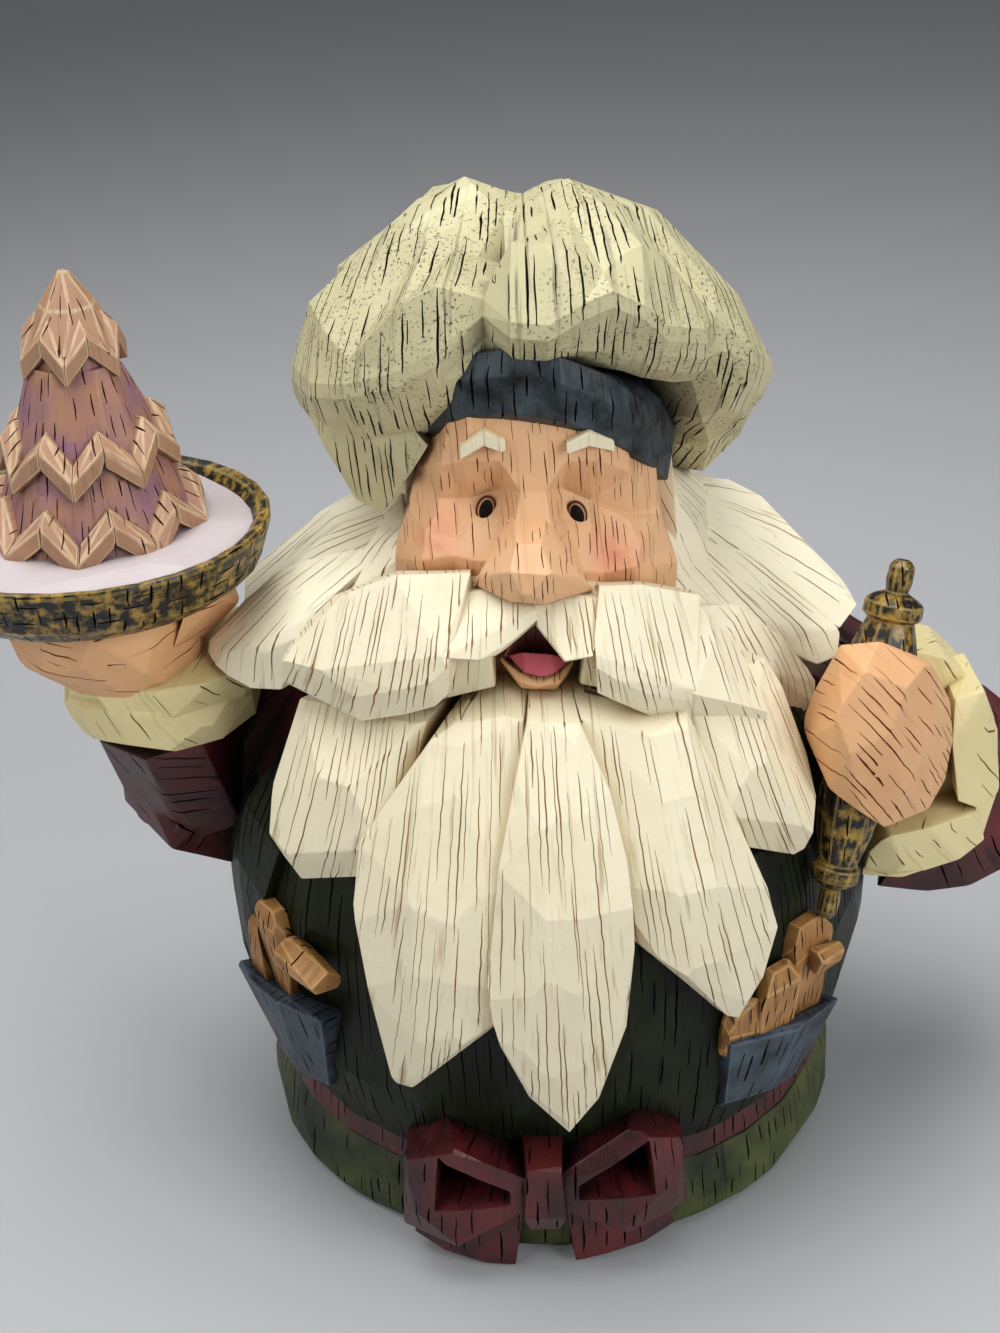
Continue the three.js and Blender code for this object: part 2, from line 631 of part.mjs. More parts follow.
// A tier is a tapered drum under a zigzag collar of icing
const TIERS = [
  { low: 134, high: 157, rLow: 21, rHigh: 14, icing: 138, points: 9, drip: 6, thick: 1.8 },
  { low: 152, high: 174, rLow: 15.5, rHigh: 8.5, icing: 157, points: 8, drip: 5.5, thick: 2 },
  { low: 170, high: 183, rLow: 9, rHigh: 5, icing: 175, points: 6, drip: 5, thick: 1.8 },
];

function makeTier({ low, high, rLow, rHigh, icing, points, drip, thick }) {
  const drum = roundSkin([[low, rLow], [high, rHigh]], 12, 0.5, CAKE_CENTRE);
  const radius = (z) => lerp(rLow, rHigh, (z - low) / (high - low));
  const rows = [[-1, 0.3, -3], [-1, 0.3, thick], [1, -0.1, thick], [1, 0, -3]];
  const rings = rows.map(([up, shift, out]) => {
    const ring = [];
    for (let i = 0; i < points * 2; i += 1) {
      const angle = (i / (points * 2)) * 2 * Math.PI;
      const swing = (i % 2 ? 0.5 : -0.5) * drip;
      const z = icing + swing + up * 3 + shift;
      const r = radius(z) + out;
      const x = CAKE_CENTRE[0] + r * Math.cos(angle);
      const y = CAKE_CENTRE[1] + r * Math.sin(angle);
      ring.push(vec(x, y, z));
    }
    return ring;
  });
  return drum.add(skin(rings));
}

function makeCake() {
  const tip = roundSkin([[178, 7.4], [184, 4.4], [190, 1]], 7, 0.3, CAKE_CENTRE);
  return join([makeDish(), ...TIERS.map(makeTier), tip]);
}

// The rolling pin, as a tapered turning stood on its axis

const PIN_OUTLINE = [
  [0, 0], [2, 0], [3, 2], [2.6, 7], [4.6, 8], [4.4, 11], [PIN_BARREL - 1.4, 12.5],
  [PIN_BARREL, 17],
];

function makePin(grow) {
  const low = vec(...PIN_LOW);
  const high = vec(...PIN_HIGH);
  const length = low.distanceTo(high);
  const half = PIN_OUTLINE.map(([r, along]) => [r ? r + grow : 0, along - (r ? 0 : grow)]);
  const mirrored = half.map(([r, along]) => [r, length - along]).reverse();
  const outline = [...half, ...mirrored].map(([r, along]) => new THREE.Vector2(r, along));
  const geometry = new THREE.LatheGeometry(outline, PIN_SIDES);
  const axis = high.clone().sub(low).normalize();
  geometry.applyQuaternion(new THREE.Quaternion().setFromUnitVectors(vec(0, 1, 0), axis));
  geometry.translate(low.x, low.y, low.z);
  return solid(geometry);
}

// The assembled part

function toMesh(name, manifold, color, roughness, metalness = 0) {
  const { vertProperties, triVerts } = manifold.simplify(SLIVER).getMesh();
  const geometry = new THREE.BufferGeometry();
  geometry.setAttribute('position', new THREE.BufferAttribute(vertProperties, 3));
  geometry.setIndex(new THREE.BufferAttribute(triVerts, 1));
  const material = new THREE.MeshStandardMaterial({ color, roughness, metalness });
  const mesh = new THREE.Mesh(geometry, material);
  mesh.name = name;
  return mesh;
}

const figure = join([
  makeBody(), makePocketGoods(), makeBow(), makeServingArm(), makePinArm(), makeHead(),
  makeMoustache(), makeHair(), makeBand(), makeCrown(),
]).subtract(makePin(GAP));

const santa = new THREE.Group();
santa.add(toMesh('figure', figure, 0xd8d0b8, 0.65));
santa.add(toMesh('cake_dish', makeCake(), 0x9a7b3a, 0.5, 0.3));
santa.add(toMesh('rolling_pin', makePin(0), 0xa8853a, 0.45, 0.4));

export default santa;
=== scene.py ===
import math
import random

import bmesh
import bpy
from mathutils import Matrix, Vector
from mathutils.bvhtree import BVHTree


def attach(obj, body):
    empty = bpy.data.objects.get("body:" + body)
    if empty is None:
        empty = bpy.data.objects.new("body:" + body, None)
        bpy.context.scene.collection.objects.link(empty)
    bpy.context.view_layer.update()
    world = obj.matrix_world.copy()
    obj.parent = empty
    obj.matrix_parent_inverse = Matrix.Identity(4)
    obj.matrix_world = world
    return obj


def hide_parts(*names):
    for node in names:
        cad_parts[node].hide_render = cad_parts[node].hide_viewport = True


# A carved-look santa in a baker's hat. Places are written in millimetres in the frame's axes,
# and the figure looks along -Y.

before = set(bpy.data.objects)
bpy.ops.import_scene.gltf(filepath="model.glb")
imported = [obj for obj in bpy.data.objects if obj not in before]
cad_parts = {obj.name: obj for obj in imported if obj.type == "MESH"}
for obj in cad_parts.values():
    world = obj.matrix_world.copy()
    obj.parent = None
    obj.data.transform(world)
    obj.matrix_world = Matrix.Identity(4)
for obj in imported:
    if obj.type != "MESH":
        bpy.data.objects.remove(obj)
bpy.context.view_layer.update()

MM = 0.001

HEM_HEIGHT = 17
HEM_RADIUS = 61.5
SASH_HEIGHT = 6
SASH_RADIUS = 60
BELLY_RADIUS = 67
TROUSER_TOP = 86
STRAP_WIDTH = 15
POCKET_LIFT = 3.6
HEAD_LEAN = 0.05
HAT_CENTRE = (-1, 0)
HAT_TOP = 203
DISH_CENTRE = (-85.5, -15.5)
CAKE_CENTRE = (-82.5, -14.5)
DISH_RADIUS = 35.5
DISH_RIM = 143
DISH_OVAL = 0.9
PIN_LOW = (51.5, -47, 69)
PIN_HIGH = (65.5, -29, 135)
PIN_BARREL = 6.2

# Outlines as (height, radius), read with straight lines between their stations
BELLY = [(19, 57), (22, 60.4), (30, 63.2), (40, 65.6), (50, BELLY_RADIUS), (61, BELLY_RADIUS),
         (73, 65.4), (TROUSER_TOP - 1, 61.8), (TROUSER_TOP, 60), (96, 55.6), (106, 49), (115, 40),
         (122, 28)]
BEARD_FRONT = [(38, 69.5), (48, 71), (62, 72.8), (76, 73.4), (91, 72), (108, 65.5), (118, 60),
               (128, 54)]


def lerp(a, b, share):
    return a + (b - a) * share


def read_outline(outline, z):
    if z <= outline[0][0]:
        return outline[0][1]
    for (z0, r0), (z1, r1) in zip(outline, outline[1:]):
        if z <= z1:
            return lerp(r0, r1, (z - z0) / (z1 - z0))
    return outline[-1][1]


def polar(azimuth, z, r):
    """A point at an azimuth in degrees, counted from the front towards +X."""
    turn = math.radians(azimuth)
    return Vector((r * math.sin(turn), -r * math.cos(turn), z))


# Camera, light and floor

CAMERA_PLACE = (-0.0085, -0.360, 0.300)
CAMERA_PITCH = 29.1
CAMERA_ROLL = 2.0
FOCAL_PIXELS = 2034
FRAME_PIXELS = 1333
SENSOR = 36


def make_camera():
    pitch = math.radians(CAMERA_PITCH)
    roll = math.radians(CAMERA_ROLL)
    forward = Vector((0, math.cos(pitch), -math.sin(pitch)))
    level = Vector((1, 0, 0))
    rise = level.cross(forward)
    right = level * math.cos(roll) - rise * math.sin(roll)
    top = level * math.sin(roll) + rise * math.cos(roll)
    place = Matrix((right, top, -forward)).transposed().to_4x4()
    place.translation = Vector(CAMERA_PLACE)
    lens = bpy.data.cameras.new("camera")
    lens.sensor_width = SENSOR
    lens.lens = FOCAL_PIXELS / FRAME_PIXELS * SENSOR
    lens.clip_start = 0.01
    camera = bpy.data.objects.new("camera", lens)
    camera.matrix_world = place
    bpy.context.scene.collection.objects.link(camera)
    bpy.context.scene.camera = camera


# Each lamp by its place in metres, its size, power and colour
LAMPS = {
    "overhead": ((-0.12, 0.02, 0.85), 0.7, 3.0, (1, 1, 1)),
    "window": ((-0.7, -0.5, 0.6), 0.7, 1.35, (1, 0.98, 0.95)),
    "fill": ((0.7, -0.65, 0.55), 0.6, 2.4, (1, 1, 1)),
}
LAMP_AIM = (0, 0, 0.1)
LAMP_SPREAD = 112
SKY_COLOUR = (0.78, 0.8, 0.82, 1)
SKY_STRENGTH = 0.2
FLOOR_SIZE = 12
FLOOR_DROP = 0.0003
FLOOR_TONE = (178, 180, 183)
FLOOR_ROUGHNESS = 0.6


def light_studio():
    for name, (place, size, power, colour) in LAMPS.items():
        lamp = bpy.data.lights.new(name, "AREA")
        lamp.size = size
        lamp.energy = power
        lamp.color = colour
        lamp.spread = math.radians(LAMP_SPREAD)
        light = bpy.data.objects.new(name, lamp)
        light.location = place
        heading = Vector(LAMP_AIM) - Vector(place)
        light.rotation_euler = heading.to_track_quat("-Z", "Y").to_euler()
        bpy.context.scene.collection.objects.link(light)
    world = bpy.data.worlds.new("room")
    bpy.context.scene.world = world
    world.use_nodes = True
    sky = world.node_tree.nodes["Background"]
    sky.inputs["Color"].default_value = SKY_COLOUR
    sky.inputs["Strength"].default_value = SKY_STRENGTH
    bpy.context.scene.view_settings.view_transform = "Standard"


# Shaping helpers, each for work on one piece at a time

def clear():
    if bpy.context.mode != "OBJECT":
        bpy.ops.object.mode_set(mode="OBJECT")
    bpy.ops.object.select_all(action="DESELECT")


def pick(piece):
    clear()
    piece.select_set(True)
    bpy.context.view_layer.objects.active = piece


def finish_with(piece, kind, **settings):
    """Adds a modifier with the given settings and applies it."""
    pick(piece)
    modifier = piece.modifiers.new(kind.lower(), kind)
    for name, value in settings.items():
        setattr(modifier, name, value)
    bpy.ops.object.modifier_apply(modifier=modifier.name)


# The three coats of every piece: on its faces, on its eased edges and in its scored grooves
PAINT, EDGE, WASH = range(3)
COATS = ("paint", "edge", "wash")


def add_coat_slots(lump):
    for name in COATS:
        lump.data.materials.append(bpy.data.materials.get(name) or bpy.data.materials.new(name))


# A knife cut leans by up to this much and takes at least this share of the asked depth, and one
# that would go deeper than this many times the asked depth is left out
KNIFE_SWAY = 0.16
KNIFE_LIGHTEST = 0.4
KNIFE_DEEPEST = 2.2


def trim(lump, cuts, depth, seed):
    """Flat knife cuts across a convex lump's edges, each taking off a little."""
    dice = random.Random(seed)
    for _ in range(cuts):
        mesh = bmesh.from_edit_mesh(lump.data)
        edges = [edge for edge in mesh.edges if len(edge.link_faces) == 2]
        edge = dice.choices(edges, [e.calc_length() for e in edges])[0]
        share = dice.random()
        lean = sum((face.normal for face in edge.link_faces), Vector()).normalized()
        lean += Vector([dice.uniform(-KNIFE_SWAY, KNIFE_SWAY) for _ in range(3)])
        lean.normalize()
        spot = edge.verts[0].co.lerp(edge.verts[1].co, share)
        reach = max(vertex.co.dot(lean) for vertex in mesh.verts)
        sink = max(reach - spot.dot(lean), 0) + depth * MM * dice.uniform(KNIFE_LIGHTEST, 1)
        if sink > KNIFE_DEEPEST * depth * MM:
            continue
        bpy.ops.mesh.select_all(action="SELECT")
        bpy.ops.mesh.bisect(plane_co=lean * (reach - sink), plane_no=lean, use_fill=True,
                            clear_outer=True)
    bpy.ops.mesh.select_all(action="SELECT")


# Corners closer than this many bevel widths become one, which leaves room for the bevel
MERGE_SHARE = 1.7
BEVEL_STEPS = 2
BEVEL_PROFILE = 0.6


def block(points, cuts=6, depth=0.8, seed=1, ease=0.45):
    """A convex lump over the given points, with knife facets and eased edges."""
    clear()
    bpy.ops.mesh.primitive_circle_add(vertices=len(points), radius=MM)
    lump = bpy.context.object
    add_coat_slots(lump)
    for vertex, point in zip(lump.data.vertices, points):
        vertex.co = Vector(point) * MM
    bpy.ops.object.mode_set(mode="EDIT")
    bpy.ops.mesh.select_all(action="SELECT")
    bpy.ops.mesh.convex_hull()
    bpy.ops.mesh.dissolve_limited(angle_limit=math.radians(1))
    if cuts:
        trim(lump, cuts, depth, seed)
        bpy.ops.mesh.remove_doubles(threshold=MERGE_SHARE * ease * MM)
        bpy.ops.mesh.select_all(action="SELECT")
        bpy.ops.mesh.convex_hull()
        bpy.ops.mesh.dissolve_limited(angle_limit=math.radians(3))
    bpy.ops.mesh.select_all(action="SELECT")
    bpy.ops.mesh.bevel(offset=ease * MM, segments=BEVEL_STEPS, profile=BEVEL_PROFILE,
                       clamp_overlap=True, material=EDGE)
    bpy.ops.mesh.select_all(action="SELECT")
    bpy.ops.mesh.normals_make_consistent(inside=False)
    clear()
    return lump


def cut_with(piece, tool, operation="DIFFERENCE"):
    finish_with(piece, "BOOLEAN", operation=operation, solver="MANIFOLD", object=tool)
    mesh = tool.data
    bpy.data.objects.remove(tool)
    bpy.data.meshes.remove(mesh)


def fuse(name, lumps):
    """One closed skin over several lumps."""
    piece = lumps[0]
    for lump in lumps[1:]:
        cut_with(piece, lump, "UNION")
    piece.name = name
    piece.data.name = name
    return piece


def ring_points(centre, direction, rx, ry, sides, turn=0.0):
    """Points on an oval across a direction."""
    along = Vector(direction).normalized()
    level = Vector((0, 1, 0)) if abs(along.z) > 0.99 else Vector((0, 0, 1))
    side = level.cross(along).normalized()
    rise = along.cross(side)
    points = []
    for i in range(sides):
        angle = 2 * math.pi * (i + turn) / sides
        points.append(Vector(centre) + side * rx * math.cos(angle) + rise * ry * math.sin(angle))
    return points


def limb(start, end, r0, r1, sides=9, turn=0.0, **knife):
    start, end = Vector(start), Vector(end)
    return block(ring_points(start, end - start, r0, r0, sides, turn)
                 + ring_points(end, end - start, r1, r1, sides, turn), **knife)


def turned(stations, sides, centre=(0, 0), oval=1.0, **knife):
    """A convex drum from stations of (height, radius)."""
    points = []
    for j, (z, r) in enumerate(stations):
        for i in range(sides):
            point = polar(360 * (i + 0.3 * (j % 2)) / sides, z, r)
            points.append((point.x + centre[0], point.y * oval + centre[1], z))
    return block(points, **knife)


# Angles in degrees: faces of a carved skin that turn less than the first are one facet, and the
# edges that turn more than the others are eased, on carved and on turned skins
ONE_FACET = 4
CARVED_EDGE = 9
TURNED_EDGE = 20


def ring_skin(name, rings, ease, carved=True):
    """A closed skin over rings of equally many points, facetted where it is carved."""
    sides = len(rings[0])
    clear()
    bpy.ops.mesh.primitive_grid_add(x_subdivisions=sides, y_subdivisions=len(rings) - 1,
                                    size=MM)
    skin = bpy.context.object
    skin.name = name
    add_coat_slots(skin)
    for i, vertex in enumerate(skin.data.vertices):
        row, column = divmod(i, sides + 1)
        vertex.co = rings[row][column % sides] * MM
    bpy.ops.object.mode_set(mode="EDIT")
    bpy.ops.mesh.select_all(action="SELECT")
    bpy.ops.mesh.remove_doubles(threshold=0.01 * MM)
    bpy.ops.mesh.select_all(action="SELECT")
    bpy.ops.mesh.fill_holes(sides=0)
    if carved:
        bpy.ops.mesh.quads_convert_to_tris(quad_method="SHORTEST_DIAGONAL")
        bpy.ops.mesh.dissolve_limited(angle_limit=math.radians(ONE_FACET))
    bpy.ops.mesh.select_all(action="SELECT")
    bpy.ops.mesh.normals_make_consistent(inside=False)
    clear()
    sharp = math.radians(CARVED_EDGE if carved else TURNED_EDGE)
    finish_with(skin, "BEVEL", width=ease * MM, segments=BEVEL_STEPS, limit_method="ANGLE",
                angle_limit=sharp, material=EDGE)
    return skin


def lathe(name, stations, sides, ease, centre=(0, 0), oval=1.0):
    """A turned shape from stations of (height, radius)."""
    rings = []
    for z, r in stations:
        points = [polar(180 + 360 * i / sides, z, r) for i in range(sides)]
        rings.append([Vector((p.x + centre[0], p.y * oval + centre[1], z)) for p in points])
    return ring_skin(name, rings, ease, carved=False)


# The grain of each piece: a point gives its place across the grain and along it

def grain_around(centre, radius):
    """Straight down, around an upright axis."""
    def grain(p):
        return math.atan2(p.x - centre[0], centre[1] - p.y) * radius, -p.z
    return grain


def once_round(radius):
    """The way across the grain for one turn around a piece, where its grain map starts again."""
    return 2 * math.pi * radius


def grain_fan(x, z, radius):
    """Spread like a fan, seen from the front, from a point above."""
    def grain(p):
        return math.atan2(p.x - x, z - p.z) * radius, math.hypot(p.x - x, z - p.z)
    return grain


def grain_spread(centre, radius):
    """Outwards and down from an upright axis."""
    def grain(p):
        out = math.hypot(p.x - centre[0], p.y - centre[1])
        return math.atan2(p.x - centre[0], centre[1] - p.y) * radius, out - p.z
    return grain


def grain_straight(across, along):
    """The same way all over the piece."""
    across, along = Vector(across).normalized(), Vector(along).normalized()

    def grain(p):
        return p.dot(across), p.dot(along)
    return grain


GRAIN_PROBE = 0.2


def heading_at(grain, point, normal):
    """The way of the grain along the surface at a point."""
    slope = Vector()
    for axis in range(3):
        offset = Vector((0, 0, 0))
        offset[axis] = GRAIN_PROBE
        slope[axis] = grain(point + offset)[0] - grain(point - offset)[0]
    heading = normal.cross(slope)
    if heading.length < 1e-6:
        return None
    heading.normalize()
    if grain(point + heading)[1] < grain(point - heading)[1]:
        heading.negate()
    return heading


# A groove is traced in steps of this length. It stops where the surface turns by more than this
# cosine, or strays from the step by more than this share of it.
GROOVE_STEP = 2.0
SHARP_TURN = 0.72
STRAY_SHARE = 0.4


def trace(tree, grain, point, normal, reach, way):
    """Walks along the surface with the grain, and stops at a sharp turn."""
    path = []
    for _ in range(max(int(reach / GROOVE_STEP), 1)):
        heading = heading_at(grain, point, normal)
        if heading is None:
            break
        target = point + heading * way * GROOVE_STEP
        spot, turn, _, miss = tree.find_nearest(target)
        if turn.dot(normal) < SHARP_TURN or miss > STRAY_SHARE * GROOVE_STEP:
            break
        path.append((spot, turn))
        point, normal = spot, turn
    return path


def surface_tree(piece):
    """The piece's surface for nearest-point searches, in millimetres."""
    mesh = piece.data
    points = [vertex.co / MM for vertex in mesh.vertices]
    return BVHTree.FromPolygons(points, [tuple(face.vertices) for face in mesh.polygons])


TRIES_PER_GROOVE = 3
FEWEST_SPOTS = 3


def plan_grooves(piece, grain, gap, length, seed, where, limit):
    """Groove paths over a piece, kept apart from each other."""
    dice = random.Random(seed)
    tree = surface_tree(piece)
    mesh = piece.data
    mesh.calc_loop_triangles()
    corners = [[mesh.vertices[i].co / MM for i in tri.vertices] for tri in mesh.loop_triangles]
    areas = [tri.area / MM / MM for tri in mesh.loop_triangles]
    normals = [Vector(tri.normal) for tri in mesh.loop_triangles]
    tries = min(int(sum(areas) / gap / sum(length) * 2 * TRIES_PER_GROOVE), limit)
    picks = dice.choices(range(len(areas)), areas, k=tries)
    taken = {}
    paths = []
    for pick_index in picks:
        a, b = dice.random(), dice.random()
        if a + b > 1:
            a, b = 1 - a, 1 - b
        c0, c1, c2 = corners[pick_index]
        point = c0 + (c1 - c0) * a + (c2 - c0) * b
        normal = normals[pick_index]
        reach = dice.uniform(*length)
        if where and not where(point, normal):
            continue
        if crowded(taken, point, gap):
            continue
        behind = trace(tree, grain, point, normal, reach / 2, -1)
        ahead = trace(tree, grain, point, normal, reach / 2, 1)
        path = behind[::-1] + [(point, normal)] + ahead
        if len(path) < FEWEST_SPOTS or any(crowded(taken, spot, gap) for spot, _ in path):
            continue
        for spot, _ in path:
            taken.setdefault(cell(spot, gap), []).append(spot)
        paths.append(path)
    return paths


def cell(spot, size):
    return tuple(int(math.floor(value / size)) for value in spot)


def crowded(taken, spot, gap):
    x, y, z = cell(spot, gap)
    for i in (-1, 0, 1):
        for j in (-1, 0, 1):
            for k in (-1, 0, 1):
                for other in taken.get((x + i, y + j, z + k), ()):
                    if (other - spot).length < gap:
                        return True
    return False


# The range of boldness from groove to groove, how thin a groove's tip is and how soon it swells,
# how far its line wavers, and how far the scorer stands above the surface
GROOVE_BOLDNESS = (0.55, 1.25)
GROOVE_TIP = 0.12
GROOVE_SWELL = 0.7
GROOVE_WAVER = 0.12
SCORER_RISE = 0.35


def score(piece, grain, gap=2.2, length=(6, 18), width=0.34, depth=0.5, seed=1, where=None,
          limit=6000):
    """Cuts tapered grooves along the grain, and leaves the wash colour in them."""
    dice = random.Random(seed + 100)
    points, faces = [], []
    for path in plan_grooves(piece, grain, gap, length, seed, where, limit):
        bold = dice.uniform(*GROOVE_BOLDNESS)
        last = len(path) - 1
        first = len(points)
        for k, (spot, normal) in enumerate(path):
            swell = math.sin(math.pi * (k + 0.25) / (last + 0.5)) ** GROOVE_SWELL
            taper = lerp(GROOVE_TIP, 1, swell)
            near = path[min(k + 1, last)][0] - path[max(k - 1, 0)][0]
            side = near.cross(normal).normalized()
            half = width * bold * taper / 2
            spot = spot + side * dice.uniform(-GROOVE_WAVER, GROOVE_WAVER)
            spread = half * (1 + SCORER_RISE / (depth * bold * taper))
            points.append(spot + normal * SCORER_RISE - side * spread)
            points.append(spot + normal * SCORER_RISE + side * spread)
            points.append(spot - normal * depth * bold * taper)
        for k in range(last):
            a = first + 3 * k
            for i, j in ((0, 1), (1, 2), (2, 0)):
                faces.append((a + i, a + j, a + 3 + j, a + 3 + i))
        faces.append((first + 2, first + 1, first))
        end = first + 3 * last
        faces.append((end, end + 1, end + 2))
    if not points:
        return
    mesh = bpy.data.meshes.new("scorer")
    mesh.from_pydata([point * MM for point in points], [], faces)
    tool = bpy.data.objects.new("scorer", mesh)
    bpy.context.scene.collection.objects.link(tool)
    add_coat_slots(tool)
    mesh.polygons.foreach_set("material_index", [WASH] * len(mesh.polygons))
    pick(tool)
    bpy.ops.object.mode_set(mode="EDIT")
    bpy.ops.mesh.select_all(action="SELECT")
    bpy.ops.mesh.normals_make_consistent(inside=False)
    clear()
    cut_with(piece, tool)


GRAIN_UNIT = 10


def map_grain(piece, grain, period):
    """Stores the place across and along the grain as a UV map, in centimetres."""
    mesh = piece.data
    layer = mesh.uv_layers.get("grain") or mesh.uv_layers.new(name="grain")
    places = [grain(vertex.co / MM) for vertex in mesh.vertices]
    for face in mesh.polygons:
        start = places[face.vertices[0]][0]
        for loop in face.loop_indices:
            across, along = places[mesh.loops[loop].vertex_index]
            if period and across - start > period / 2:
                across -= period
            elif period and start - across > period / 2:
                across += period
            layer.data[loop].uv = (across / GRAIN_UNIT, along / GRAIN_UNIT)


# Paints

def tone(red, green, blue):
    """A paint colour as it looks, turned into the light values that a shader takes."""
    values = []
    for value in (red, green, blue):
        share = value / 255
        values.append(share / 12.92 if share <= 0.04045 else ((share + 0.055) / 1.055) ** 2.4)
    return (*values, 1)


class Nodes:
    """A shorthand for a material's node tree."""

    def __init__(self, name):
        self.material = bpy.data.materials.new(name)
        self.material.use_nodes = True
        self.tree = self.material.node_tree
        self.shader = self.tree.nodes["Principled BSDF"]

    def add(self, kind, links=(), **settings):
        node = self.tree.nodes.new(kind)
        for name, value in settings.items():
            if name.startswith("in_"):
                node.inputs[name[3:].replace("_", " ")].default_value = value
            else:
                setattr(node, name, value)
        for socket, source in dict(links).items():
            self.link(source, node, socket)
        return node

    def link(self, source, node, socket):
        output = source if isinstance(source, bpy.types.NodeSocket) else source.outputs[0]
        self.tree.links.new(output, node.inputs[socket])

    def noise(self, vector, scale, detail=3, roughness=0.6):
        return self.add("ShaderNodeTexNoise", {"Vector": vector}, in_Scale=scale,
                        in_Detail=detail, in_Roughness=roughness)

    def band(self, source, low, high):
        """0 below the low value and 1 above the high one, with a straight rise between."""
        return self.add("ShaderNodeMapRange", {"Value": source}, in_From_Min=low,
                        in_From_Max=high)

    def times(self, source, other):
        node = self.add("ShaderNodeMath", {0: source}, operation="MULTIPLY")
        if isinstance(other, (int, float)):
            node.inputs[1].default_value = other
        else:
            self.link(other, node, 1)
        return node

    def blend(self, share, first, second):
        """Mixes two colours, each a value or a node, by a node's share."""
        node = self.tree.nodes.new("ShaderNodeMix")
        node.data_type = "RGBA"
        share_in, first_in, second_in = node.inputs[0], node.inputs[6], node.inputs[7]
        self.tree.links.new(share.outputs[0] if hasattr(share, "outputs") else share, share_in)
        for source, socket in ((first, first_in), (second, second_in)):
            if isinstance(source, tuple):
                socket.default_value = source
            else:
                self.tree.links.new(source, socket)
        return node.outputs[2]


# How fine the patterns are: the grain lines and the streaks that they gather in, across and
# along the grain in each centimetre, and the specks and nicks in each metre
LINE_SCALE = (9, 0.55, 1)
STREAK_SCALE = (3.2, 0.3, 1)
SPECK_SCALE = 1500
NICK_SCALE = 330
NICK_SHARE = 1.3
SPECK_SHARE = 0.25
BUMP_STRENGTH = 0.45
BUMP_DEPTH = 0.3


def coat(name, base, shade, wash, grain=0.45, speckle=0.0, mottle=0.5, crevice=0.7, edge=None,
         edge_share=0.0, roughness=0.5, reach=4.0, blush=(), patch=70, gloss=0.5):
    """A hand-painted coat: a base with a second shade rubbed over it, fine grain lines, small
    nicks and a dark tone near other surfaces, partly the figure's own wash in its crevices and
    partly painted shade. Colours are red, green and blue of 255."""
    base, shade, wash = tone(*base), tone(*shade), tone(*wash)
    n = Nodes(name)
    place = n.add("ShaderNodeTexCoord").outputs["Object"]
    uv = n.add("ShaderNodeUVMap", uv_map="grain")
    fine = n.noise(n.add("ShaderNodeMapping", {"Vector": uv}, in_Scale=LINE_SCALE),
                   1.0, 2, 0.55)
    broad = n.noise(n.add("ShaderNodeMapping", {"Vector": uv}, in_Scale=STREAK_SCALE), 1.0, 3)
    cloud = n.noise(place, patch, 4)
    specks = n.noise(place, SPECK_SCALE, 2, 0.7)
    colour = n.blend(n.times(n.band(cloud, 0.35, 0.7), mottle), base, shade)
    for middle, radius, flush in blush:
        away = n.add("ShaderNodeVectorMath", {0: place}, operation="DISTANCE")
        away.inputs[1].default_value = Vector(middle) * MM
        glow = n.band(away.outputs["Value"], radius * MM, 0)
        colour = n.blend(n.times(glow, n.band(cloud, 0.2, 0.6)), colour, tone(*flush))
    lines = n.band(fine, 0.56, 0.68)
    patches = n.band(broad, 0.42, 0.62)
    marks = n.times(lines, n.times(patches, grain))
    colour = n.blend(marks, colour, wash)
    if speckle:
        dots = n.times(n.band(specks, 0.57, 0.65), n.times(n.band(cloud, 0.42, 0.56), speckle))
        colour = n.blend(dots, colour, wash)
    if edge:
        rubbed = n.times(n.band(broad, 0.3, 0.55), edge_share)
        colour = n.blend(rubbed, colour, tone(*edge))
    # Where other surfaces are near, the colour goes towards the wash: partly the figure's own dark
    # wash in its hollows, partly painted shade
    if crevice:
        hollow = n.add("ShaderNodeAmbientOcclusion", samples=6, in_Distance=reach * MM)
        wash_and_shade = n.times(n.band(hollow.outputs["AO"], 0.75, 0.25), crevice)
        colour = n.blend(wash_and_shade, colour, wash)
    n.link(colour, n.shader, "Base Color")
    sheen = n.add("ShaderNodeMapRange", {"Value": cloud}, in_From_Min=0.3, in_From_Max=0.7,
                  in_To_Min=roughness - 0.07, in_To_Max=roughness + 0.09)
    n.link(sheen, n.shader, "Roughness")
    n.shader.inputs["Specular IOR Level"].default_value = gloss
    nicks = n.add("ShaderNodeMath", {0: n.times(n.noise(place, NICK_SCALE, 3), NICK_SHARE),
                                     1: n.times(specks, SPECK_SHARE)}, operation="ADD")
    relief = n.add("ShaderNodeMath", {0: nicks, 1: marks}, operation="SUBTRACT")
    bump = n.add("ShaderNodeBump", {"Height": relief}, in_Strength=BUMP_STRENGTH,
                 in_Distance=BUMP_DEPTH * MM)
    n.link(bump, n.shader, "Normal")
    return n.material


def coats(name, base, shade, wash, edge=None, edge_share=0.6, groove=None, **settings):
    """The three coats of one paint: on faces, on eased edges and in scored grooves."""
    paint = coat(name, base, shade, wash, **settings)
    rubbed = paint if edge is None else coat(f"{name}_edge", base, shade, wash, edge=edge,
                                             edge_share=edge_share, **settings)
    dark = Nodes(f"{name}_wash")
    place = dark.add("ShaderNodeTexCoord").outputs["Object"]
    patchy = dark.band(dark.noise(place, 160, 3), 0.3, 0.75)
    dark.link(dark.blend(patchy, tone(*(groove or wash)), tone(*wash)), dark.shader, "Base Color")
    dark.shader.inputs["Roughness"].default_value = 0.7
    dark.shader.inputs["Specular IOR Level"].default_value = 0.2
    return [paint, rubbed, dark.material]


SMOOTH_ANGLE = 24


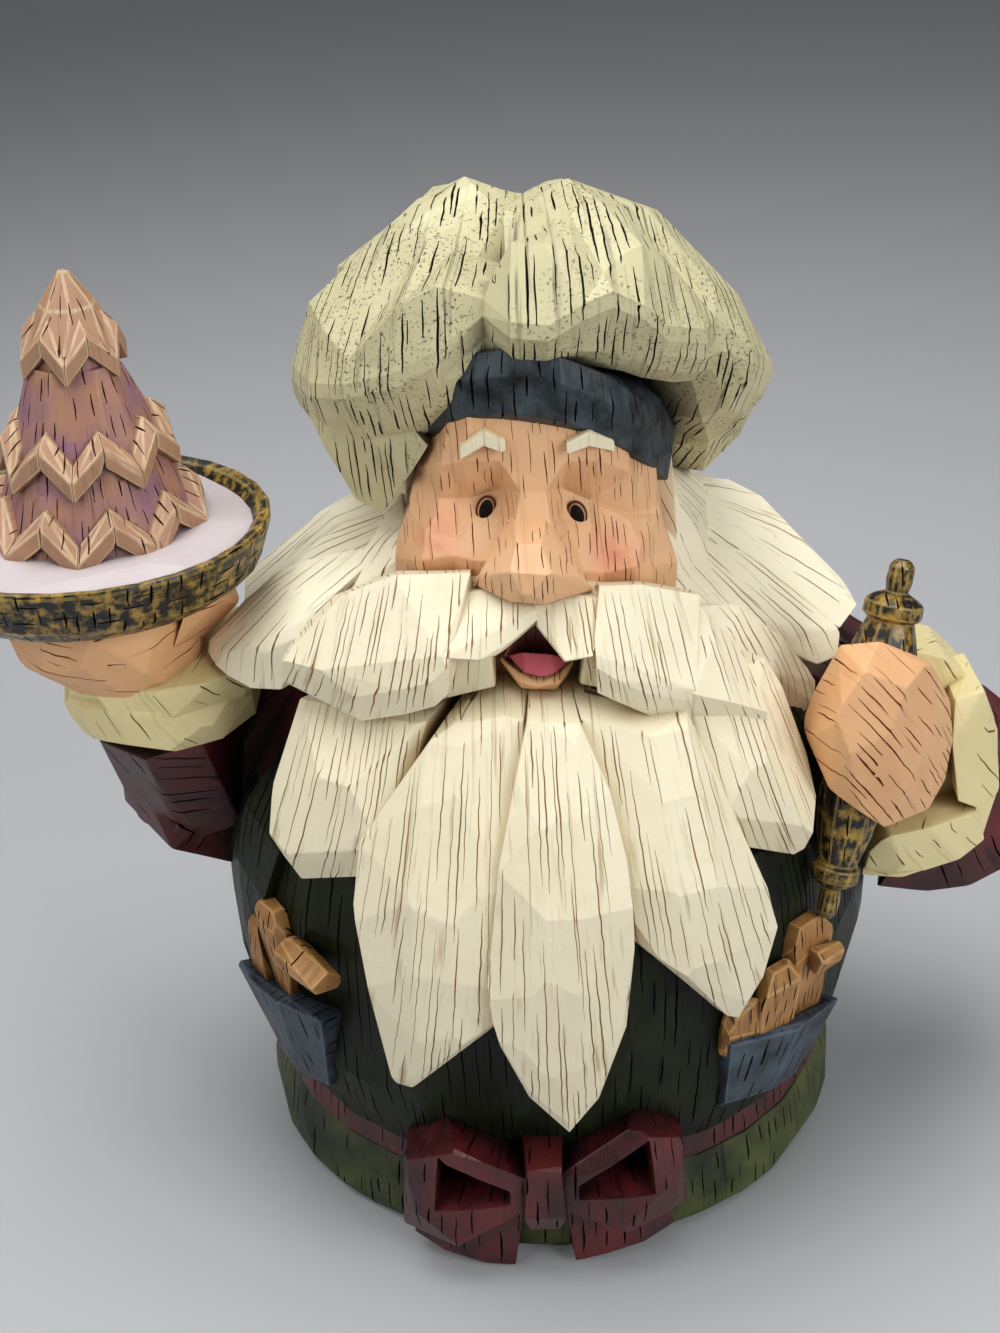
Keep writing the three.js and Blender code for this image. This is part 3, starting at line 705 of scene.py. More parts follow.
def dress(piece, coat_list, grain, period=None, node="figure"):
    """Gives a finished piece its coats, grain map and place in the frame."""
    for i, material in enumerate(coat_list):
        piece.data.materials[i] = material
    map_grain(piece, grain, period)
    pick(piece)
    bpy.ops.object.shade_smooth_by_angle(angle=math.radians(SMOOTH_ANGLE))
    finish_with(piece, "WEIGHTED_NORMAL", mode="FACE_AREA", weight=90, keep_sharp=True)
    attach(piece, "root")
    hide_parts(node)
    clear()


HAT_COATS = coats("hat_cream", (202, 195, 154), (176, 168, 128), (46, 39, 27),
                  groove=(22, 16, 10), speckle=0.9, grain=0.7, crevice=0.95, reach=7)
BAND_COATS = coats("hat_band", (12, 15, 18), (72, 84, 91), (3, 4, 5), grain=0.9, mottle=0.85,
                   roughness=0.42, patch=190, gloss=0.3)
SKIN_COATS = coats("skin", (229, 178, 129), (214, 156, 104), (160, 96, 56),
                   groove=(136, 76, 38), grain=0.35, crevice=0.5)
ROSE = (210, 112, 92)
# Rosy places on the cheeks: middle, radius and colour
BLUSH_CHEEKS = [((-18.4, -40, 147.4), 7, ROSE), ((13.2, -40, 143.8), 7, ROSE)]
FACE_COATS = coats("face_skin", (230, 184, 140), (218, 166, 118), (160, 100, 60),
                   groove=(142, 86, 46), grain=0.5, blush=BLUSH_CHEEKS, crevice=0.45, reach=3)
LIP_COATS = coats("lip", (84, 16, 18), (60, 10, 12), (24, 4, 6), grain=0.3)
LIP_COATS[EDGE] = coat("lip_pink", (186, 72, 92), (206, 106, 118), (92, 26, 34))
BEARD_COATS = coats("beard_white", (236, 227, 197), (223, 211, 178), (172, 144, 98),
                    groove=(178, 150, 102), grain=0.7)
# The hair's white is the beard's white painted lighter, with less dark near other surfaces:
# painted light that makes up for the shade the hair sits in
HAIR_PAINTED_LIGHT_COATS = coats("hair_white_painted_light", (250, 243, 216), (242, 232, 202), (172, 144, 98),
                   groove=(178, 150, 102), grain=0.7, crevice=0.55)
EYE_COATS = coats("eye", (12, 11, 11), (20, 17, 16), (84, 44, 24), grain=0, roughness=0.45,
                  crevice=0, gloss=0.15)
EYE_COATS[EDGE] = coat("eye_rim", (190, 146, 98), (168, 122, 80), (84, 44, 24), grain=0)
GREEN_COATS = coats("dungaree_green", (7, 9, 6), (40, 47, 22), (2, 3, 2), grain=0.9,
                    mottle=0.75, roughness=0.45, patch=45, gloss=0.18)
MOSS_COATS = coats("hem_moss", (26, 31, 17), (92, 99, 54), (5, 6, 4), grain=0.9, mottle=0.85,
                   roughness=0.45, patch=55, gloss=0.3)
MAROON_COATS = coats("shirt_maroon", (42, 9, 12), (108, 32, 34), (6, 3, 4), grain=0.85,
                     mottle=0.75, crevice=1, roughness=0.4, reach=6, patch=60, gloss=0.5)
CUFF_COATS = coats("cuff_cream", (230, 216, 162), (212, 195, 136), (140, 108, 58),
                   groove=(130, 106, 60), grain=0.3)
BLUE_COATS = coats("pocket_blue", (34, 42, 52), (80, 93, 105), (6, 8, 12), edge=(108, 122, 140),
                   edge_share=0.35, grain=0.85, mottle=0.85, patch=120, gloss=0.35)
GINGER_COATS = coats("gingerbread", (172, 124, 68), (128, 82, 38), (50, 28, 12),
                     groove=(40, 22, 10), grain=0.85, mottle=0.85, edge=(206, 164, 104),
                     patch=140)
GOLD_COATS = coats("dish_gold", (160, 128, 54), (15, 13, 9), (6, 5, 4), grain=0.9, mottle=1.8,
                   roughness=0.34, patch=430, edge=(190, 162, 88), edge_share=0.35)
ICING_COATS = coats("icing_white", (194, 184, 186), (174, 160, 162), (132, 112, 108), grain=0.0,
                    crevice=0.9, reach=7)
CAKE_COATS = coats("cake_mauve", (168, 122, 90), (134, 94, 120), (76, 44, 42),
                   groove=(62, 32, 32), grain=0.65, mottle=0.95, patch=110)
TAN_COATS = coats("icing_tan", (176, 136, 106), (150, 110, 86), (84, 50, 36),
                  edge=(222, 198, 160), edge_share=0.55, groove=(78, 42, 28), grain=0.6)


# Body: hem, trousers, braces and shirt

BODY_GRAIN = 60
UPRIGHT = grain_around((0, 0), BODY_GRAIN)
UPRIGHT_PERIOD = once_round(BODY_GRAIN)

# A brace from the bib over the shoulder to the back, as (azimuth, height)
STRAP_ROUTE = [(62, 72), (60, 84), (57, 96), (58, 107), (75, 115), (100, 117), (124, 111),
               (142, 101), (153, 92), (160, 86.5), (170, 74)]
STRAP_LIFTS = (1.6, -4)
# Below this height a brace keeps this far out, so that it lies over the trousers' top edge
STRAP_OVERLAP = 88
STRAP_OVERLAP_RADIUS = 62.4
# From this height up a brace tips over, until it lies flat on the shoulder
SHOULDER_START = 100
SHOULDER_ROUND = 12


def strap(side):
    spots = []
    for azimuth, z in STRAP_ROUTE:
        least = STRAP_OVERLAP_RADIUS if z < STRAP_OVERLAP else 0
        spots.append(polar(side * azimuth, z, max(read_outline(BELLY, z), least)))
    stations = []
    for i, spot in enumerate(spots):
        along = spots[min(i + 1, len(spots) - 1)] - spots[max(i - 1, 0)]
        out = Vector((spot.x, spot.y, 0)).normalized()
        out.z = max((spot.z - SHOULDER_START) / SHOULDER_ROUND, 0)
        out.normalize()
        across = along.cross(out).normalized() * STRAP_WIDTH / 2
        stations.append([spot + across * edge + out * lift for edge in (-1, 1)
                         for lift in STRAP_LIFTS])
    return [block(a + b, cuts=0, ease=0.4) for a, b in zip(stations, stations[1:])]


def make_hem():
    hem = turned([(0, HEM_RADIUS - 1.2), (2, HEM_RADIUS), (9, HEM_RADIUS - 0.2),
                  (HEM_HEIGHT, HEM_RADIUS - 2), (HEM_HEIGHT + 1, HEM_RADIUS - 6)], 30,
                 cuts=50, depth=0.7, seed=3, ease=0.6)
    score(hem, UPRIGHT, gap=2.1, length=(5, 14), width=0.45, depth=0.6, seed=4)
    dress(hem, MOSS_COATS, UPRIGHT, UPRIGHT_PERIOD)
    hem.name = "hem"


def make_trousers():
    stations = [s for s in BELLY if s[0] <= TROUSER_TOP]
    belly = turned(stations, 30, cuts=110, depth=0.8, seed=5, ease=0.6)
    trousers = fuse("dungarees", [belly] + strap(1) + strap(-1))
    score(trousers, UPRIGHT, gap=1.6, length=(8, 30), width=0.4, depth=0.5, seed=6)
    dress(trousers, GREEN_COATS, UPRIGHT, UPRIGHT_PERIOD)


# Corners of the bent elbows
SERVING_ELBOW = [
    (-86, -8, 93), (-87, -5, 74), (-79, -3, 61), (-64, -8, 59), (-76, -18, 70), (-64, -13, 78),
    (-62, -10, 96), (-80, 8, 68), (-66, 8, 62), (-84, 4, 88)]
PIN_ELBOW = [
    (103, 2, 62), (100, -4, 50), (98, 16, 52), (80, -10, 47.2), (68.5, -12, 49.5),
    (89, -9, 47.6), (76, 18, 54), (101, 6, 80), (92, 18, 84), (78, -9, 64), (94, -4, 78)]


def make_shirt():
    chest = turned([(80, 60)] + [s for s in BELLY if s[0] >= TROUSER_TOP], 24, cuts=40,
                   depth=0.8, seed=7)
    lumps = [
        chest,
        limb((-40, 6, 106), (-71, -1, 76), 15, 15, 8, 0.5, seed=8),
        limb((-71, -1, 76), (-75, -12, 102), 15.5, 15, 8, 0.2, seed=9),
        block(SERVING_ELBOW, cuts=8, depth=1, seed=10, ease=0.8),
        limb((40, 8, 102), (86, 8, 67), 15, 17, 8, 0.5, seed=11),
        block(PIN_ELBOW, cuts=8, depth=1, seed=12, ease=0.8),
        limb((86, 8, 68), (79, -3, 86), 15, 12, 8, 0.2, seed=13),
    ]
    shirt = fuse("shirt", lumps)
    score(shirt, UPRIGHT, gap=2.2, length=(6, 20), width=0.42, depth=0.6, seed=14)
    dress(shirt, MAROON_COATS, UPRIGHT, UPRIGHT_PERIOD)


# Sash and bow

# The knot's place, and each loop's length, height and tilt
BOW = {"x": -3.5, "y": -66, "z": 23, "loop": 27, "flare": 23, "lean": 0.06}


def bow_loop(side):
    loop, flare = BOW["loop"], BOW["flare"]

    def at(out, rise, back):
        return (BOW["x"] + side * out, BOW["y"] + back, BOW["z"] + rise + side * out * BOW["lean"])
    outer = block([
        at(3, 4, -4), at(3, -4, -4), at(loop * 0.62, flare * 0.55, -4),
        at(loop * 0.6, -flare / 2, -5), at(loop, flare * 0.3, 1), at(loop * 1.02, -flare * 0.4, 1),
        at(loop * 0.92, -flare * 0.1, -3.4), at(3, 4, 10), at(3, -4, 10),
        at(loop * 0.7, flare * 0.55, 12), at(loop * 0.7, -flare / 2, 12),
        at(loop * 0.95, flare * 0.25, 15), at(loop * 0.95, -flare * 0.35, 15)],
        cuts=8, depth=0.8, seed=20 + side)
    mouth = block([
        at(6, 1.5, -9), at(6, -2.5, -9), at(loop * 0.78, flare * 0.48, -9),
        at(loop * 0.82, -3, -9), at(7, 1.5, 1), at(7, -1, 1),
        at(loop * 0.68, flare * 0.4, 8), at(loop * 0.72, -1, 8)], cuts=0, ease=0.5)
    cut_with(outer, mouth)
    return outer


def bow_tail(side):
    def at(out, z, back):
        return (BOW["x"] + side * out, BOW["y"] + back, z)
    return block([
        at(4, 16, 0), at(12, 18, 1), at(6, 0.6, 0.2), at(12, 1, 0.6), at(20, 3, 2.4),
        at(26, 4.5, 6.5), at(23, 16, 8), at(5, 0.6, 9), at(23, 2.5, 11), at(4, 14, 11)],
        cuts=4, depth=0.6, seed=24 + side)


def make_sash():
    band = turned([(HEM_HEIGHT - 1.5, SASH_RADIUS - 1), (HEM_HEIGHT - 0.5, SASH_RADIUS),
                   (HEM_HEIGHT + SASH_HEIGHT, SASH_RADIUS - 0.6),
                   (HEM_HEIGHT + SASH_HEIGHT + 1, SASH_RADIUS - 4)], 30, cuts=20, depth=0.4,
                  seed=21)
    x, y, z = BOW["x"], BOW["y"], BOW["z"]
    knot = block([point for side in (-1, 1) for point in (
        (x + side * 3.2, y - 6, z + 8), (x + side * 4, y - 6.4, z - 4),
        (x + side * 3, y - 4, z - 9), (x + side * 4.2, y + 8, z + 9),
        (x + side * 4.2, y + 8, z - 9))], cuts=3, depth=0.5, seed=22)
    sash = fuse("sash", [band, bow_loop(-1), bow_loop(1), bow_tail(-1), bow_tail(1), knot])
    score(sash, UPRIGHT, gap=2.2, length=(4, 12), width=0.4, depth=0.5, seed=23)
    dress(sash, MAROON_COATS, UPRIGHT, UPRIGHT_PERIOD)


# Pockets and biscuits

def make_pocket(name, azimuth, width, top, bottom, taper, drop):
    def at(a, z, out):
        return polar(azimuth + a, z, read_outline(BELLY, z) + out)
    half = width / 2
    side = math.copysign(1, azimuth)
    low = top - drop
    pocket = block([
        at(-half * side, top, POCKET_LIFT), at(half * side, low, POCKET_LIFT),
        at(0, (top + low) / 2, POCKET_LIFT + 1.2), at(-half * taper * side, bottom + 1.5, 1.6),
        at(half * taper * side, bottom - drop * 0.6, 1.6), at(0, bottom, 2.4),
        at(-half * side, top - 1, -3), at(half * side, low - 1, -3),
        at(-half * taper * side, bottom, -3), at(half * taper * side, bottom - drop * 0.6, -3)],
        cuts=6, depth=0.5, seed=30, ease=0.5)
    pocket.name = name
    score(pocket, UPRIGHT, gap=1.9, length=(5, 14), width=0.4, depth=0.5, seed=31)
    dress(pocket, BLUE_COATS, UPRIGHT, UPRIGHT_PERIOD)


def biscuit(azimuth, width, start, end, out, thick):
    def at(a, z, r):
        return polar(azimuth + a, z, read_outline(BELLY, z) + r)
    half = width / 2
    points = []
    for r in (out, out + thick):
        points += [at(-half, start, r - 1.8), at(half, start, r - 1.8), at(-half, end - 4, r),
                   at(half, end - 4, r), at(-half * 0.5, end, r - 0.6),
                   at(half * 0.5, end, r - 0.6)]
    points += [at(a, start + 2, -2) for a in (-half * 0.6, half * 0.6)]
    return block(points, cuts=14, depth=0.9, seed=int(azimuth) + 100)


def make_biscuits():
    biscuits = fuse("biscuits", [
        biscuit(-54, 9, 46, 71, -0.5, 3.6), biscuit(-60, 8, 46, 63, -0.5, 3.2),
        limb((-50.4, -46.6, 65.1), (-43, -56.6, 64.7), 3.8, 3.6, 8, 0.5, seed=33),
        biscuit(45, 11, 43, 69, -0.5, 3.8), biscuit(37.5, 9, 43, 64, 0.6, 3.6),
        biscuit(31, 8, 47, 59, 0.2, 3.4),
        limb((48.9, -50.1, 60.8), (54.1, -46.0, 60.8), 3, 2.6, 8, 0.5, seed=34)])
    score(biscuits, UPRIGHT, gap=1.3, length=(3, 8), width=0.4, depth=0.45, seed=35)
    dress(biscuits, GINGER_COATS, UPRIGHT, UPRIGHT_PERIOD)


# Hands and cuffs

# The cuff around the fist: its body, the rolled fold beside the fist and the roll below it, each
# by its front outline, its depth, how much it narrows behind and its number of knife cuts
PIN_CUFF = [
    ([(68.5, -22, 112.8), (77.8, -20, 108.7), (86.2, -16, 99.5), (90.1, -14, 89.0),
      (91.4, -14, 74.8), (88.7, -16, 70.9), (88.8, -16, 64.1), (84.0, -18, 60.7),
      (71.6, -24, 61.0), (62.4, -26, 63.5)], 22, 0.15, 10),
    ([(77.6, -27, 103.9), (83.7, -25, 104.7), (88.3, -22, 93.9), (89.5, -22, 80.0),
      (86.1, -25, 76.9), (79.5, -29, 82.1), (77.1, -30, 95.8)], 18, 0.1, 6),
    ([(61.6, -30, 66.3), (62.3, -34, 75.0), (69.9, -31, 66.0), (81.3, -28, 67.7),
      (87.0, -24, 69.5), (84.2, -27, 78.3), (73.5, -33, 79.0), (65.4, -35, 78.3)], 22, 0.05, 6),
]


def make_cuffs():
    serving = [
        turned([(98.5, 15.5), (100, 18.6), (106, 20), (110.5, 18.6), (112, 16.5)], 11,
               (-74.5, -11.5), cuts=12, depth=1.1, seed=40, ease=0.8),
        turned([(106, 17), (108, 20.4), (113.5, 21), (115.5, 18.5)], 10, (-73, -12), 0.92, cuts=12,
               depth=1.2, seed=45, ease=0.8)]
    pinning = []
    for i, (outline, back, shrink, cuts) in enumerate(PIN_CUFF):
        middle = sum((Vector(point) for point in outline), Vector()) / len(outline)
        behind = [Vector(point).lerp(middle, shrink) + Vector((0, back, 0)) for point in outline]
        pinning.append(block(outline + behind, cuts=cuts, depth=0.8, seed=41 + i, ease=0.8))
    cuffs = fuse("cuffs", serving + pinning)
    grain = grain_straight((1, -0.4, 0.5), (-0.4, 0.3, 1))
    score(cuffs, grain, gap=3, length=(5, 14), width=0.3, depth=0.3, seed=42)
    dress(cuffs, CUFF_COATS, grain)


def make_serving_hand():
    palm = block(ring_points((-78, -12, 109), (0, 0, 1), 13, 16, 8)
                 + ring_points((-83, -14, 119), (0, 0, 1), 19, 22, 9, 0.5)
                 + ring_points((-85, -14, 128.6), (0, 0, 1), 19, 23, 9), cuts=12, depth=1.2,
                 seed=43, ease=0.8)
    lumps = [palm]
    for i, azimuth in enumerate((-146, -118, -90)):
        centre = Vector((-84, -13, 0))
        lumps.append(limb(polar(azimuth, 119, 8) + centre, polar(azimuth, 125, 25) + centre,
                          5.4, 4.2, 7, 0.5, seed=44 + i, cuts=5, depth=0.8))
    lumps.append(block([(-68, -18, 116), (-62, -14, 118), (-57, -17, 125), (-60, -22, 128.6),
                        (-66, -26, 128.6), (-70, -27, 120), (-60, -8, 128.6), (-70, -8, 120)],
                       cuts=5, depth=0.8, seed=49))
    hand = fuse("serving_hand", lumps)
    grain = grain_straight((0.1, -0.2, 1), (1, 0.2, 0.1))
    score(hand, grain, gap=2.2, length=(6, 22), width=0.34, depth=0.4, seed=50)
    dress(hand, SKIN_COATS, grain)


def make_pin_hand():
    fist = block([
        (47.3, -38, 108.3), (48.9, -38, 113.6), (52.3, -42, 125.0), (59.2, -43, 126.0),
        (69.1, -40, 120.1), (75.2, -33, 107.5), (77.2, -30, 96.9), (76.1, -31, 88.6),
        (72.3, -35, 84.5), (61.8, -46, 88.1), (56.4, -49, 93.8), (50.6, -49, 98.8),
        (46.4, -42, 107.5), (55.2, -51, 124.4), (63.4, -49, 119.7), (69.7, -44, 105.7),
        (64.6, -48, 97.2), (52.9, -54, 109.3), (50.0, -53, 117.0), (60.2, -52, 111.9),
        (55.4, -26, 115.1), (68.2, -24, 112.4), (77.0, -18, 98.7), (78.4, -18, 80.2),
        (63.4, -24, 80.0), (50.8, -24, 98.8)],
        cuts=7, depth=0.8, seed=51, ease=0.6)
    fist.name = "pin_hand"
    grain = grain_straight((0.7, 0.34, 0.61), (0.7, -0.34, -0.61))
    score(fist, grain, gap=1.4, length=(8, 30), width=0.28, depth=0.36, seed=52)
    dress(fist, SKIN_COATS, grain)


# Head

def face_at(x, y, z):
    """A point of the head, which leans to its own right."""
    return (x + HEAD_LEAN * (150 - z), y, z)


# The face in rows from the hairline down, each from left to right with the height of its back
FACE_ROWS = [
    (146, [(-17.4, -28.5, 166.5), (-15.4, -34.6, 170.4), (-12.0, -38, 172.4), (-7.8, -39, 173.0),
          (-3.9, -39.4, 173.1), (0.6, -39.4, 172.5), (4.3, -39, 171.9), (10.0, -38, 170.2),
          (14.2, -32, 167), (16, -25.5, 163)]),
    (144.5, [(-22, -27.5, 156.4), (-17.6, -37, 160.1), (-13.6, -39.3, 161.9),
          (-7.3, -39.6, 161.8), (-3.9, -40, 159.2), (-0.0, -40, 159.1), (3.8, -39.6, 161.2),
          (10.2, -39.2, 161.0), (15.4, -34.8, 156.6), (20.4, -26.6, 155.6)]),
    (143, [(-23.4, -30, 151.7), (-18.0, -34.6, 153.0), (-12.7, -34.8, 152.9),
          (-7.4, -35.2, 154.8), (-4.0, -40.6, 156.3), (0.4, -40.6, 156.2), (3.4, -35.2, 154.4),
          (8.3, -34.6, 151.6), (15.3, -34.2, 148.5), (20.8, -30, 148.1)]),
    (141, [(-23.6, -31, 149.7), (-18.4, -36.5, 151.2), (-12.5, -36.6, 149.5),
          (-7.6, -37.4, 150.1), (-4.9, -42.5, 152.0), (1.0, -42.5, 151.7), (3.4, -37.4, 149.6),
          (8.1, -36.6, 148.3), (14.8, -36.5, 148.4), (21.1, -31, 146.6)]),
    (139, [(-26.1, -31.5, 144.1), (-20.7, -38.6, 148.4), (-14.3, -39.4, 147.0),
          (-9.1, -41, 147.0), (-6.4, -46.2, 149.0), (1.6, -46.2, 148.5), (5.3, -41, 146.1),
          (10.2, -39.4, 144.5), (16.8, -38.6, 144.5), (22.7, -31.5, 140.8)]),
    (136, [(-26.6, -32, 140.4), (-21.5, -40.5, 144.0), (-15.6, -42, 145.3),
          (-11.7, -42.5, 144.4), (-7.5, -49.5, 147.8), (2.3, -49.5, 147.5),
          (6.5, -42.5, 141.9), (10.3, -41.5, 140.7), (16.1, -40.5, 141.3), (24.1, -32, 137.6)]),
    (131, [(-26.9, -31, 133.1), (-21.7, -38, 136.4), (-16.0, -39, 136.7), (-13.3, -42, 138.5),
          (-6.4, -46, 137.6), (1.6, -46, 137.3), (7.7, -42, 136.5), (10.5, -39, 133.7),
          (16.8, -38, 132.9), (23.9, -31, 130.1)]),
    (122, [(-24, -30, 124), (-20, -37, 122), (-15, -39, 122), (-12, -41, 122), (-7, -43, 122),
           (0, -43, 122), (6, -41, 121), (10, -39, 121), (16, -37, 120), (22, -30, 120)]),
]
FACE_BACK = [(23, 0), (18, 14), (-19, 14), (-24, 0)]
FACE_SCORED_TO = -20
NOSE_BALL = [
    (-11.4, -49.5, 145.4), (-12.9, -48, 142.8), (-6.4, -53, 141.6), (-0.8, -53.5, 141.1),
    (8.1, -48, 140.7), (6.4, -49.5, 143.9), (-8, -49.5, 148.6), (3, -49.5, 148),
    (-5.2, -51.5, 151.6), (-0.9, -51.5, 151.5), (-6.3, -55.4, 148.4), (0.6, -55.6, 147.8),
    (-4.6, -56, 144.4), (-1.6, -56, 144.2), (-5.6, -40, 152), (0.6, -40, 152), (-9, -38, 138),
    (5.5, -38, 137)]
CHIN = [
    (-9.6, -47.5, 127.4), (3.4, -47.5, 126.6), (-7, -51.8, 125.4), (-3, -53, 124.8),
    (0.8, -51.8, 125), (-6, -50.4, 122.8), (-0.4, -50.4, 122.4), (-9, -41, 122),
    (3, -41, 121), (-9, -41, 127)]
MOUTH_HOLLOW = [
    (-9, -47.5, 128), (4.5, -47.5, 127.5), (-4, -48.5, 137), (0.5, -48.5, 137), (-8, -40, 136),
    (4, -40, 136), (-9, -40, 126), (4, -40, 126)]
LOWER_LIP = [
    (-8.4, -48, 128.4), (-5.4, -50.6, 130.4), (-2.9, -50.4, 129.6), (-0.6, -50.8, 130),
    (2.6, -48, 127), (-2.6, -52, 126.2), (-5.4, -51.2, 126.6), (0, -51.2, 126),
    (-7, -44, 127), (2, -44, 126), (-2.6, -44, 125.4)]

# The brows as (x, height, half thickness), the eyes as (x, height, tilt), and the layers of an
# eye, each by its radii, how far back it lies and its coat
BROWS = [[(-14, 163.6, 1), (-9.8, 166.4, 1.3), (-6.3, 164.9, 1)],
         [(4.1, 164.3, 1), (7.9, 165.7, 1.3), (12.4, 163, 1)]]
EYES = ((-10, 151.4, 14), (5.9, 149.9, -14))
EYE_LAYERS = (((1.8, 0.6, 2.65), 0, WASH), ((1.56, 0.6, 2.35), -0.12, EDGE),
              ((1.3, 0.6, 2.1), -0.26, PAINT))


def make_face():
    rings = [[Vector(point) for point in row] + [Vector((x, y, back)) for x, y in FACE_BACK]
             for back, row in FACE_ROWS]
    skull = ring_skin("face", rings, 0.35)
    ball = block(NOSE_BALL, cuts=2, depth=0.4, seed=63, ease=0.35)
    chin = block([face_at(*point) for point in CHIN], cuts=3, depth=0.3, seed=66, ease=0.3)
    face = fuse("face", [skull, ball, chin])
    grain = grain_straight((1, 0, 0.05), (0, 0.1, -1))
    score(face, grain, gap=1.15, length=(4, 14), width=0.22, depth=0.34, seed=68,
          where=lambda p, n: p.y < FACE_SCORED_TO)
    dress(face, FACE_COATS, grain)
    return surface_tree(face)


def make_mouth():
    """The red hollow under the moustache and the lower lip in it."""
    hollow = block([face_at(*point) for point in MOUTH_HOLLOW], cuts=0, ease=0.3)
    lip = block([face_at(*point) for point in LOWER_LIP], cuts=3, depth=0.3, seed=69, ease=0.3)
    for face in lip.data.polygons:
        face.material_index = EDGE
    mouth = fuse("mouth", [hollow, lip])
    grain = grain_straight((1, 0, 0), (0, 0, -1))
    score(mouth, grain, gap=1.1, length=(2, 4), width=0.26, depth=0.3, seed=72)
    dress(mouth, LIP_COATS, grain)


def on_face(tree, x, z):
    """The point of the face straight behind a place in front of it."""
    spot, _, _, _ = tree.ray_cast(Vector((x, -80, z)), Vector((0, 1, 0)))
    return spot


def make_brows(tree):
    """Each brow is two short arms that meet in a blunt peak."""
    lumps = []
    for i, arms in enumerate(BROWS):
        for j, (start, end) in enumerate(zip(arms, arms[1:])):
            points = []
            for x, z, thick in (start, end):
                spot = on_face(tree, x, z)
                for lift in (-thick, thick):
                    points.append(spot + Vector((0, -2, lift)))
                    points.append(spot + Vector((0, 2, lift * 1.2)))
            lumps.append(block(points, cuts=2, depth=0.25, seed=70 + 2 * i + j, ease=0.18))
    brows = fuse("brows", lumps)
    grain = grain_straight((1, 0, 0), (0, 0, -1))
    dress(brows, BEARD_COATS, grain)


def make_eyes(tree):
    """Each eye is a brown outline, a tan ring and a black oval, in thin layers."""
    lumps = []
    for x, z, tilt in EYES:
        spot = on_face(tree, x, z)
        for radii, back, layer in EYE_LAYERS:
            clear()
            bpy.ops.mesh.primitive_uv_sphere_add(segments=22, ring_count=12, radius=MM)
            eye = bpy.context.object
            add_coat_slots(eye)
            eye.data.transform(Matrix.Translation((spot + Vector((0, back, 0))) * MM)
                               @ Matrix.Rotation(math.radians(tilt), 4, "Y")
                               @ Matrix.Diagonal((*radii, 1)))
            for face in eye.data.polygons:
                face.material_index = layer
            lumps.append(eye)
    eyes = fuse("eyes", lumps)
    dress(eyes, EYE_COATS, grain_straight((1, 0, 0), (0, 0, -1)))


def slab(front, thick, drop, **knife):
    """A thick plate behind a front outline, with a steep end face below it."""
    front = [Vector(point) for point in front]
    middle = sum(front, Vector()) / len(front)
    layers = list(front)
    for point in front:
        out = point - middle
        out.y = 0
        out.normalize()
        layers.append(point + out * 0.3 + Vector((0, 0.25 * thick, -drop)))
        layers.append(point + Vector((0, thick, -0.6 * drop)))
    middle.y -= 1
    return block(layers + [middle], **knife)


FAN = grain_fan(-4, 235, 120)

# The moustache in five flat lumps, each by its front: lower edge first, then upper edge
MOUSTACHE = [
    [(-46.6, -46.5, 128.3), (-39.8, -51, 128.6), (-34.0, -54, 124.6), (-25.8, -57, 127.4),
     (-20.2, -58.5, 129.6), (-17.5, -58.5, 132.3), (-18.4, -58, 134.3),
     (-47, -45, 128), (-43.3, -45, 133.4), (-37.6, -45, 139), (-26.3, -47, 144.4),
     (-13, -49, 145.4)],
    [(-18.4, -58, 134.0), (-11.9, -57.5, 133.0), (-8.4, -55.8, 133.2), (-1.9, -53.5, 137.1),
     (-1, -51.5, 141), (-8, -49.5, 142.8), (-15, -50, 141.6)],
    [(-1.8, -53.5, 137.0), (0.8, -55.6, 134.2), (2.6, -57.4, 132.2), (7.3, -58.5, 133.6),
     (-2.5, -51.5, 141), (5, -49.5, 140.8), (10, -50, 139.8)],
    [(7.3, -58.5, 134.0), (7.9, -59, 131.5), (11.3, -58.8, 128.9), (17.1, -57.5, 125.0),
     (23.8, -55.5, 122.4), (25.4, -55, 124.2),
     (16.1, -47, 141), (26.7, -45, 137.5), (9, -49, 142)],
    [(24.2, -55.3, 124.0), (25.4, -55.5, 123.5), (32.3, -53, 120.2), (38.6, -50, 116.3),
     (37.3, -48.5, 119.0),
     (33.9, -45, 127.4), (26.7, -46, 136), (21, -50, 131)],
]
# How far each lump's end face slopes down behind its front
MOUSTACHE_DROPS = (6, 1.2, 1.2, 6, 6)
MOUSTACHE_THICK = 9

# The hair between the moustache and the beard, left, right and below the mouth
MOUTH_SIDES = [
    [(-22, -50, 132), (-10.2, -51.5, 132.6), (-9.4, -51, 124), (-24, -50, 120), (-22, -38, 133),
     (-9, -40, 133), (-9, -40, 120), (-24, -38, 118)],
    [(6.4, -52, 131.5), (20, -50, 126), (5.4, -51, 124), (20, -48, 118), (7, -40, 132),
     (20, -38, 127), (5, -40, 119), (20, -38, 116)],
    [(-9, -49, 121.8), (5, -49, 121.2), (-9, -51, 114), (5, -51, 114), (-9, -38, 122),
     (5, -38, 121), (-9, -38, 112), (5, -38, 112)],
]


def make_moustache():
    moustache = fuse("moustache", [
        slab(front, MOUSTACHE_THICK, drop, cuts=5, depth=0.6, seed=80 + i, ease=0.35)
        for i, (front, drop) in enumerate(zip(MOUSTACHE, MOUSTACHE_DROPS))]
        + [block(points, cuts=0) for points in MOUTH_SIDES])
    score(moustache, FAN, gap=1.05, length=(9, 34), width=0.26, depth=0.26, seed=90)
    dress(moustache, BEARD_COATS, FAN)


